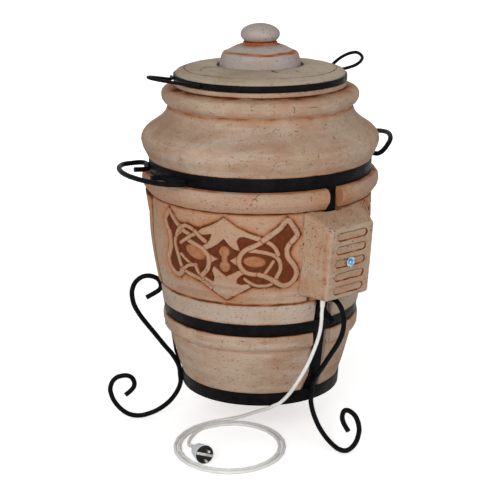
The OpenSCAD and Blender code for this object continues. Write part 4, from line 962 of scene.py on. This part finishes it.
# The foot's line runs a little low, and the bar is pressed flat on the floor there
FOOT_Z = ROD_R - 0.5
LEG_LINE = [
    (CURL_R + 30, MID_TOP + 1), (CURL_R + 17, MID_TOP + 8), (CURL_R + 4, MID_TOP + 16),
    (CURL_R, MID_TOP + 25), (CURL_R + 3, MID_TOP + 36), (CURL_R + 11, MID_TOP + 43),
    (CURL_R + 24, MID_TOP + 47), (CURL_R + 38, MID_TOP + 45), (CURL_R + 51, MID_TOP + 35),
    (CURL_R + 58, MID_TOP + 20), (CURL_R + 59, MID_TOP + 6), (CURL_R + 56, MID_Z + 15),
    (CURL_R + 49, MID_Z - 1), (CURL_R + 38, MID_Z - 19), (LOW_R + 57, MID_Z - 48), (LOW_R + 36, MID_Z - 77),
    (LOW_R + 20.5, LOW_TOP + 33), (LOW_R + 9.7, LOW_TOP + 14), (beside_low(LOW_TOP), LOW_TOP),
    (beside_low(STAND_H + 12), STAND_H + 12), (beside_low(STAND_H), STAND_H - 3), (LOW_R + 9, 59),
    (LOW_R + 19, 43), (LOW_R + 32, 29), (LOW_R + 51, 16), (LOW_R + 71, 8), (LOW_R + 91, FOOT_Z),
    (LOW_R + 112, 9), (LOW_R + 129, 22), (LOW_R + 142, 40), (LOW_R + 148, 57), (LOW_R + 149, 69),
    (LOW_R + 144, 83), (LOW_R + 134, 92), (LOW_R + 118, 95), (LOW_R + 106, 91), (LOW_R + 100, 81),
    (LOW_R + 100, 71), (LOW_R + 106, 62), (LOW_R + 118, 52)]
for side, azimuth in (("front", STRAP_AZ), ("left", STRAP_AZ - THIRD), ("rear", STRAP_AZ + THIRD)):
    line = [turned(p.x, 0, p.y, azimuth) for p in smooth(LEG_LINE, 5)]
    rod("leg_bar_" + side, "leg_" + side, line, ROD_R, floor=0)

# One half of each handle, seen from above: (distance out from the axis, distance from the middle line)
BOW_HUG = TOP_R + ROD_R + WELD
BOW_HALF = [
    (TOP_R + 68, 0), (TOP_R + 65, 30), (TOP_R + 54, 65), (TOP_R + 34, 94), (TOP_R + 10, 105),
    (TOP_R - 5, 106), (TOP_R - 12.5, 99)]
BOW_HALF += on_circle(BOW_HUG, (23, 19, 15.5))
BOW_HALF += [(TOP_R + 0.8, 48), (TOP_R + 9, 42), (TOP_R + 20, 41), (TOP_R + 32, 41)]
LOOP_HUG = LID_HOOP_R + LOOP_R + WELD
WIDE_LOOP = [
    (LID_HOOP_R + 65, 0), (LID_HOOP_R + 61, 14), (LID_HOOP_R + 48, 25), (LID_HOOP_R + 31, 30),
    (LID_HOOP_R + 16, 33), (LID_HOOP_R + 6.5, 38)]
WIDE_LOOP += on_circle(LOOP_HUG, (15.5, 18.5, 22.5))
OVAL_LOOP = [
    (LID_HOOP_R + 65, 0), (LID_HOOP_R + 62, 12), (LID_HOOP_R + 50, 21), (LID_HOOP_R + 35, 25.5),
    (LID_HOOP_R + 18, 24), (LID_HOOP_R + 7.5, 18)]
OVAL_LOOP += on_circle(LOOP_HUG, (4.2, 0.8))
LEFT_BOW_Z, RIGHT_BOW_Z = JOINT_Z - 3, JOINT_Z + 7
LOOP_Z = LID_Z + LID_HOOP_RISE + LID_HOOP_W / 2


def bent_handle(name, node, half, azimuth, z, rise, r, radius, spring=0.0, twist=0.0):
    """A handle from one half of its outline. It rises, springs up and twists from the radius r outwards."""
    points = []
    for x, y in half[::-1] + [(x, -y) for x, y in half[1:]]:
        off = max(0, x - r)
        points.append((x, y, z + (rise + twist * y) * off + spring * math.sqrt(off)))
    rod(name, node, [turned(*p, azimuth) for p in smooth(points, 6)], radius)


bent_handle("bow_left", "carry_handle_left", BOW_HALF, LEFT_AZ, LEFT_BOW_Z, 0.08, BOW_HUG, ROD_R)
bent_handle("bow_right", "carry_handle_right", BOW_HALF, RIGHT_AZ, RIGHT_BOW_Z, 0.05, BOW_HUG, ROD_R, spring=2.2,
            twist=-0.003)
bent_handle("loop_left", "lid_handle_left", WIDE_LOOP, LEFT_AZ, LOOP_Z, 0.2, LOOP_HUG, LOOP_R)
bent_handle("loop_right", "lid_handle_right", OVAL_LOOP, RIGHT_LOOP_AZ, LOOP_Z, 0.4, LOOP_HUG, LOOP_R,
            twist=0.006)


# ---- Weld beads ----

def welds(name, node, spots, halves):
    """Small beads of weld metal at spots, each an azimuth and a (radius, side, height) in mm."""
    bm = bmesh.new()
    for azimuth, place in spots:
        middle = turned(*place, azimuth)
        for v in bmesh.ops.create_uvsphere(bm, u_segments=14, v_segments=10, radius=1)["verts"]:
            lump = Vector((v.co.x * halves[0], v.co.y * halves[1], v.co.z * halves[2]))
            lump = lump * (1 + 0.16 * rough_at(v.co * 3 + middle, 1))
            v.co = middle + turned(*lump, azimuth)
    show(name, to_mesh(bm, name), STEEL, [node])


LOW_SPOTS = [(a, (LOW_R + 0.4, side * 3.8, LOW_TOP - 12)) for a in STRAP_AZIMUTHS for side in SIDES]
CURL_SPOTS = [(a, (CURL_R - ROD_R, side * 3.4, MID_TOP + 25)) for a in STRAP_AZIMUTHS for side in SIDES]
TOP_SPOTS = [(a + side * 19, (TOP_R + 0.6, 0, z + up * 4.2))
             for a, z in ((LEFT_AZ, LEFT_BOW_Z), (RIGHT_AZ, RIGHT_BOW_Z)) for side in SIDES for up in SIDES]
welds("welds_low", "lower_hoop", LOW_SPOTS, (2.0, 2.4, 7))
welds("welds_curl", "mid_hoop", CURL_SPOTS, (1.8, 2.2, 5))
welds("welds_top", "upper_hoop", TOP_SPOTS, (2.0, 8, 2.2))


# ---- Lid and stopper ----

# Cracks in the lid's top, as (radius, azimuth) points: hair cracks, and a wide one towards the front
LID_CRACKS = [
    [(86, 205), (110, 203), (128, 206), (148, 204)], [(84, 335), (100, 338), (118, 334)],
    [(86, 162), (120, 158), (138, 161)], [(84, 100), (110, 104), (146, 100)], [(84, 22), (104, 25), (120, 22)],
    [(86, 240), (98, 243)]]
WIDE_CRACK = [(82, 283), (92, 285), (99, 284), (108, 287)]
LID_EDGE = LID_HOOP_R - LID_HOOP_T - WELD


def flat_line(points):
    return [tuple(turned(r, 0, 0, azimuth)[:2]) for r, azimuth in points]


def lid_stain_and_shade(mesh):
    x = np.array([v.co.x / MM for v in mesh.vertices])
    y = np.array([v.co.y / MM for v in mesh.vertices])
    to_hair = np.min([distance_to(flat_line(crack), x, y) for crack in LID_CRACKS], axis=0)
    to_wide = distance_to(flat_line(WIDE_CRACK), x, y)
    values = []
    for v, hair, wide in zip(mesh.vertices, to_hair, to_wide):
        p = v.co / MM
        r = math.hypot(p.x, p.y)
        # Dark cracks, and painted shade in the ring where the stopper sits, in the small groove near the edge
        # and under the lid
        s = max(0.62 * fading(hair, 1.3), 1.3 * fading(wide, 2.2), 0.75 * fading(r - STOPPER_R - 3, 3.5),
                0.5 * fading(r - LID_EDGE + 18, 1.6), 0.7 if p.z < LID_Z + 3 else 0)
        values.append(s * (1 + 0.5 * rough_at(p, 18, 4)))
    write_attribute(mesh, "stain_and_shade", values)


def make_lid():
    edge = LID_EDGE
    outline = [
        (VENT_R, LID_Z - LID_PLUG_H), (LID_PLUG_R - 2, LID_Z - LID_PLUG_H),
        (LID_PLUG_R, LID_Z - LID_PLUG_H + 2), (LID_PLUG_R, LID_Z), (edge - 3, LID_Z), (edge, LID_Z + 2),
        (edge, LID_Z + 13), (edge - 0.6, LID_Z + 16), (edge - 4, LID_Z + 19), (edge - 12, LID_Z + 22),
        (edge - 17, LID_Z + 23.6), (edge - 17.6, LID_Z + 22.6), (edge - 18.4, LID_Z + 22.6),
        (edge - 19, LID_Z + 24.1), (edge - 40, LID_Z + 27),
        (STOPPER_R + 24, LID_Z + LID_T - 0.6), (STOPPER_R + 5.5, LID_Z + LID_T),
        (STOPPER_R + 4.5, LID_Z + LID_T - 1), (STOPPER_R + 4, SEAT_Z), (VENT_R, SEAT_Z)]
    bm = spun(finer(outline, 2.5), 288, closed=True)
    for v in bm.verts:
        if v.co.z > LID_Z + 14:
            v.co.z += 0.6 * rough_at(v.co, 30, 9) + 0.25 * rough_at(v.co, 9, 2)
    mesh = to_mesh(bm, "lid_clay")
    lid_stain_and_shade(mesh)
    show("lid_clay", mesh, LID_CLAY, ["lid_disc"], sharp=40)


# Height of the knob's ball, and its middle
BALL_H = 41
BALL_Z = STOPPER_Z + STOPPER_H - BALL_H / 2
# Where the cone meets the knob's neck, and the clearance of the spigot in the vent
CONE_Z = STOPPER_Z + STOPPER_H - 40
SPIGOT_CLEAR = 2


def make_stopper():
    spigot_r = VENT_R - SPIGOT_CLEAR
    outline = [
        (0, STOPPER_Z - SPIGOT_H), (spigot_r, STOPPER_Z - SPIGOT_H), (spigot_r, STOPPER_Z),
        (STOPPER_R, STOPPER_Z), (STOPPER_R, STOPPER_Z + 2), (STOPPER_R - 1, STOPPER_Z + 10),
        (STOPPER_R - 3, STOPPER_Z + 20), (STOPPER_R - 5, STOPPER_Z + 27), (STOPPER_R - 7.5, STOPPER_Z + 30),
        (STOPPER_R - 13, STOPPER_Z + 30.5), (STOPPER_R - 14, STOPPER_Z + 32.5),
        (STOPPER_R - 15.5, STOPPER_Z + 33.5), (KNOB_R + 11.5, CONE_Z - 4), (KNOB_R, CONE_Z),
        (KNOB_R - 4.5, CONE_Z + 1.5), (KNOB_R - 5.5, CONE_Z + 5)]
    for degrees in range(-55, 90, 5):
        a = math.radians(degrees)
        outline.append((KNOB_R * math.cos(a), BALL_Z + BALL_H / 2 * math.sin(a)))
    outline.append((0, BALL_Z + BALL_H / 2))
    bm = spun(finer(outline, 2.5), 144)
    for v in bm.verts:
        shift_radially(v, 0.6 * rough_at(v.co, 30, 7) + 0.25 * rough_at(v.co, 9, 2))
    mesh = to_mesh(bm, "stopper_clay")
    # Painted shade, with some brown stain, at the seat, at the step and under the knob
    lines = [(STOPPER_Z, 2, 0.8), (STOPPER_Z + 31.5, 1.8, 0.95), (CONE_Z + 3.5, 4.5, 0.95)]
    stain_and_shade_of(mesh, lines, lambda p: 0)
    show("stopper_clay", mesh, STOPPER_CLAY, ["vent_stopper"], sharp=50)


make_lid()
make_stopper()


# ---- Terminal box ----

COVER_VOXEL = 1.35 * MM


def cover_stain_and_shade(p):
    """The darkening at a point of the box's own frame: painted shade with some brown stain round the grooves of
    its front, and darker patches on its sides, strongest near the front of one side.
    """
    s = 0.0
    if p.x > BOX_D - 8:
        to_edge = []
        for i in range(SLOT_COUNT):
            level = SCREW_Z + SLOT_PITCH * (i - SLOT_COUNT // 2)
            past_end = max(0, abs(p.y) - (SLOT_L - SLOT_W) / 2)
            to_edge.append(abs(math.hypot(past_end, p.z - level) - SLOT_W / 2))
        s = 0.95 * fading(min(to_edge), 1.3)
    if p.x < BOX_D - 3:
        patch = 0.8 + 0.7 * rough_at(p, 20, 3) + 0.5 * rough_at((p.x, p.y, p.z / 5), 5, 7)
        left_edge = 0.4 * patch * fading(p.x - BOX_D + 8, 7) * (p.y < -BOX_W / 2)
        s = max(s, 0.23 * patch, left_edge)
    return min(1.1, s * (1 + 0.4 * rough_at(p, 9, 1)))


def make_cover():
    """The model's own cover with its edges worn round."""
    bm = bmesh.new()
    bm.from_mesh(NODE["terminal_cover"].data)
    bmesh.ops.remove_doubles(bm, verts=bm.verts, dist=1e-6)
    mesh = bpy.data.meshes.new("cover_clay")
    bm.to_mesh(mesh)
    bm.free()
    draft = bpy.data.objects.new("cover_draft", mesh)
    remesh = draft.modifiers.new("even", "REMESH")
    remesh.mode = "VOXEL"
    remesh.voxel_size = COVER_VOXEL
    relax = draft.modifiers.new("round", "SMOOTH")
    relax.factor, relax.iterations = 0.5, 3
    mesh = applied(draft)
    to_box = BOX_FRAME.inverted()
    stain_and_shade_values = []
    for v in mesh.vertices:
        p = to_box @ (v.co / MM)
        stain_and_shade_values.append(cover_stain_and_shade(p))
        v.co += MM * 0.5 * Vector(noise.noise_vector(p / 14))
        v.co += MM * 0.25 * Vector(noise.noise_vector(p / 4))
    write_attribute(mesh, "stain_and_shade", stain_and_shade_values)
    show("cover_clay", mesh, BOX_CLAY, ["terminal_cover"])


make_cover()


# ---- Finishes of the pieces that stay as the model has them ----

FINISH = {
    "hearth_plate": HEARTH_CLAY, "base_star": STEEL, "strap_front": STEEL, "strap_left": STEEL,
    "strap_rear": STEEL, "heater": ELEMENT, "heater_bushes": STEATITE, "terminal_block": STEATITE,
    "heater_pins": ZINC, "heater_hooks": ZINC, "back_plate": ZINC, "plate_screws": ZINC, "cover_stud": ZINC,
    "cover_screw": BLUE_ZINC, "cover_washer": BLUE_ZINC, "terminal_screws": ZINC, "link_wires": BRAID,
    "cord_cores": BRAID, "cord_gland": CORD, "plug_body": GRIP, "plug_face": BLACK, "plug_pins": NICKEL,
    "plug_earth": NICKEL}
for name, material in FINISH.items():
    for slot in NODE[name].material_slots:
        slot.material = material


# ---- Cord: the route's points, in mm, are those of the part's source ----

CORD_D = 7.2
CORD_R = CORD_D / 2
CORD_ROUTE = [
    (117.5, -200.5, 285), (117, -201.5, 270), (113.5, -205, 246), (104, -208, 216), (91, -206, 183),
    (75, -198, 149), (58, -189, 118), (40, -179, 94), (27, -171, 84), (14, -158, 72), (2, -140, 61),
    (-11, -119, 48), (-34, -88, 27), (-52, -69, 14.5), (-68, -60, 7.5), (-84, -60, 4.4)]
TAIL_ROUTE = [
    (-121, -103, 3.7), (-129.5, -118, 3.7), (-135.5, -134, 3.7), (-139.8, -150, 3.7), (-142, -166, 3.7),
    (-140.5, -181, 3.8)]
# Where the cord starts under the gland in the box's frame, and how far it drops straight down
CORD_EXIT, CORD_DROP = (20, -40.5, -BOX_H / 2 - 20), 8
# Two turns of 24 steps round an oval, whose radii shrink by COIL_SHRINK a turn
COIL_MIDDLE, COIL_RADII = (-58, -184), (108, 122)
COIL_START, COIL_STEP, COIL_TURN_STEPS, COIL_TURNS = 118, 15, 24, 2
COIL_OUT, COIL_SHRINK = 4, 9
COIL_COUNT = COIL_TURN_STEPS * COIL_TURNS
# The plug lies on its face's edge, so its axis rises by PLUG_DROP over its length
PLUG_D, PLUG_L, PLUG_DROP = 38, 34, 5
PLUG_TILT = math.atan(PLUG_DROP / PLUG_L)
PLUG_AZ = math.radians(-66)
PLUG_AT = Vector((-107, -258, PLUG_D / 2 * math.cos(PLUG_TILT) + WELD))
PLUG_DIR = Vector((math.cos(PLUG_TILT) * math.cos(PLUG_AZ), math.cos(PLUG_TILT) * math.sin(PLUG_AZ),
                   math.sin(PLUG_TILT)))
# Distance from the plug's face back to the cord's end
PLUG_BACK = 64


def coil_point(i):
    a = math.radians(COIL_START + COIL_STEP * i)
    off = COIL_OUT - COIL_SHRINK * i / COIL_TURN_STEPS
    return Vector((COIL_MIDDLE[0] + (COIL_RADII[0] + off) * math.cos(a),
                   COIL_MIDDLE[1] + (COIL_RADII[1] + off) * math.sin(a), CORD_R))


def cord_points():
    """The cord's middle line from the gland to the plug."""
    coil_in = (coil_point(0.1) - coil_point(-0.1)).normalized()
    coil_away = (coil_point(COIL_COUNT + 0.1) - coil_point(COIL_COUNT - 0.1)).normalized()
    first = coil_point(0) - CORD_D * coil_in
    last = coil_point(COIL_COUNT) + CORD_D * coil_away
    start = from_box(*CORD_EXIT)
    dropped = start + from_box(0, 0, -CORD_DROP) - from_box(0, 0, 0)
    end = PLUG_AT - PLUG_BACK * PLUG_DIR
    run = [start] + smooth([dropped] + CORD_ROUTE + [first - CORD_D * coil_in], 3) + [first]
    coil = [coil_point(i) for i in range(COIL_COUNT + 1)] + [last]
    tail = smooth([last + CORD_R * coil_away] + TAIL_ROUTE + [end - CORD_R * PLUG_DIR], 3) + [end]
    return run + coil + tail


def make_cord():
    points = [p * MM for p in cord_points()]
    curve = poly_curve("cord", points, CORD_R * MM)
    curve.splines[0].use_smooth = True
    curve.materials.append(CORD)
    cord = bpy.data.objects.new("cord", curve)
    scene.collection.objects.link(cord)
    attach(cord, "oven")
    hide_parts("cord_run", "cord_coil", "cord_tail")


make_cord()


# ---- Floor and light ----

# The floor's and the world's level where the camera sees them, and the world's level on the object
FLOOR_NEAR, FLOOR_FAR, WORLD_SEEN, WORLD_LIGHT = 0.58, 0.95, 1.0, 0.42
# The floor's own light grows between these distances from the origin, in metres
FLOOR_FADE = (0.7, 3.0)
FLOOR_R = 16
LAMP_SIZE = 1.6


def make_floor():
    f = Finish("floor", Base_Color=(0.78, 0.78, 0.78, 1), Roughness=0.9, Specular_IOR_Level=0.0,
               Emission_Color=(1, 1, 1, 1))
    path = f.tree.nodes.new("ShaderNodeLightPath")
    seen = f.math("MAXIMUM", path.outputs["Is Camera Ray"], path.outputs["Is Glossy Ray"])
    seen = f.math("MAXIMUM", seen, path.outputs["Is Transmission Ray"])
    away = f.node("VectorMath", 1, settings={"operation": "LENGTH"}, i0=f.place)
    level = f.math("MULTIPLY", seen, f.ramp(away, *FLOOR_FADE, FLOOR_NEAR, FLOOR_FAR))
    f.put(f.shader.inputs["Emission Strength"], level)
    bm = bmesh.new()
    bmesh.ops.create_circle(bm, cap_ends=True, segments=64, radius=FLOOR_R)
    mesh = bpy.data.meshes.new("floor")
    bm.to_mesh(mesh)
    bm.free()
    mesh.materials.append(f.material)
    floor = bpy.data.objects.new("floor", mesh)
    scene.collection.objects.link(floor)


def make_world():
    world = bpy.data.worlds.new("world")
    scene.world = world
    world.use_nodes = True
    tree = world.node_tree
    back = tree.nodes["Background"]
    back.inputs["Color"].default_value = (1, 1, 1, 1)
    path = tree.nodes.new("ShaderNodeLightPath")
    seen = path.outputs["Is Camera Ray"]
    for other in ("Is Glossy Ray", "Is Transmission Ray"):
        either = tree.nodes.new("ShaderNodeMath")
        either.operation = "MAXIMUM"
        tree.links.new(seen, either.inputs[0])
        tree.links.new(path.outputs[other], either.inputs[1])
        seen = either.outputs[0]
    level = tree.nodes.new("ShaderNodeMapRange")
    tree.links.new(seen, level.inputs["Value"])
    level.inputs["To Min"].default_value = WORLD_LIGHT
    level.inputs["To Max"].default_value = WORLD_SEEN
    tree.links.new(level.outputs[0], back.inputs["Strength"])


def lamp(name, place, aim, power):
    data = bpy.data.lights.new(name, "AREA")
    data.size = LAMP_SIZE
    data.energy = power
    obj = bpy.data.objects.new(name, data)
    obj.location = place
    obj.rotation_euler = (Vector(aim) - Vector(place)).to_track_quat("-Z", "Y").to_euler()
    scene.collection.objects.link(obj)


make_floor()
make_world()
lamp("key", (-0.7, -2.9, 1.5), (0, 0, 0.33), 50)
lamp("fill", (1.9, -2.4, 1.0), (0, 0, 0.35), 11)
lamp("back", (0.4, 2.4, 2.2), (0, 0, 0.5), 16)
scene.view_settings.view_transform = "Standard"
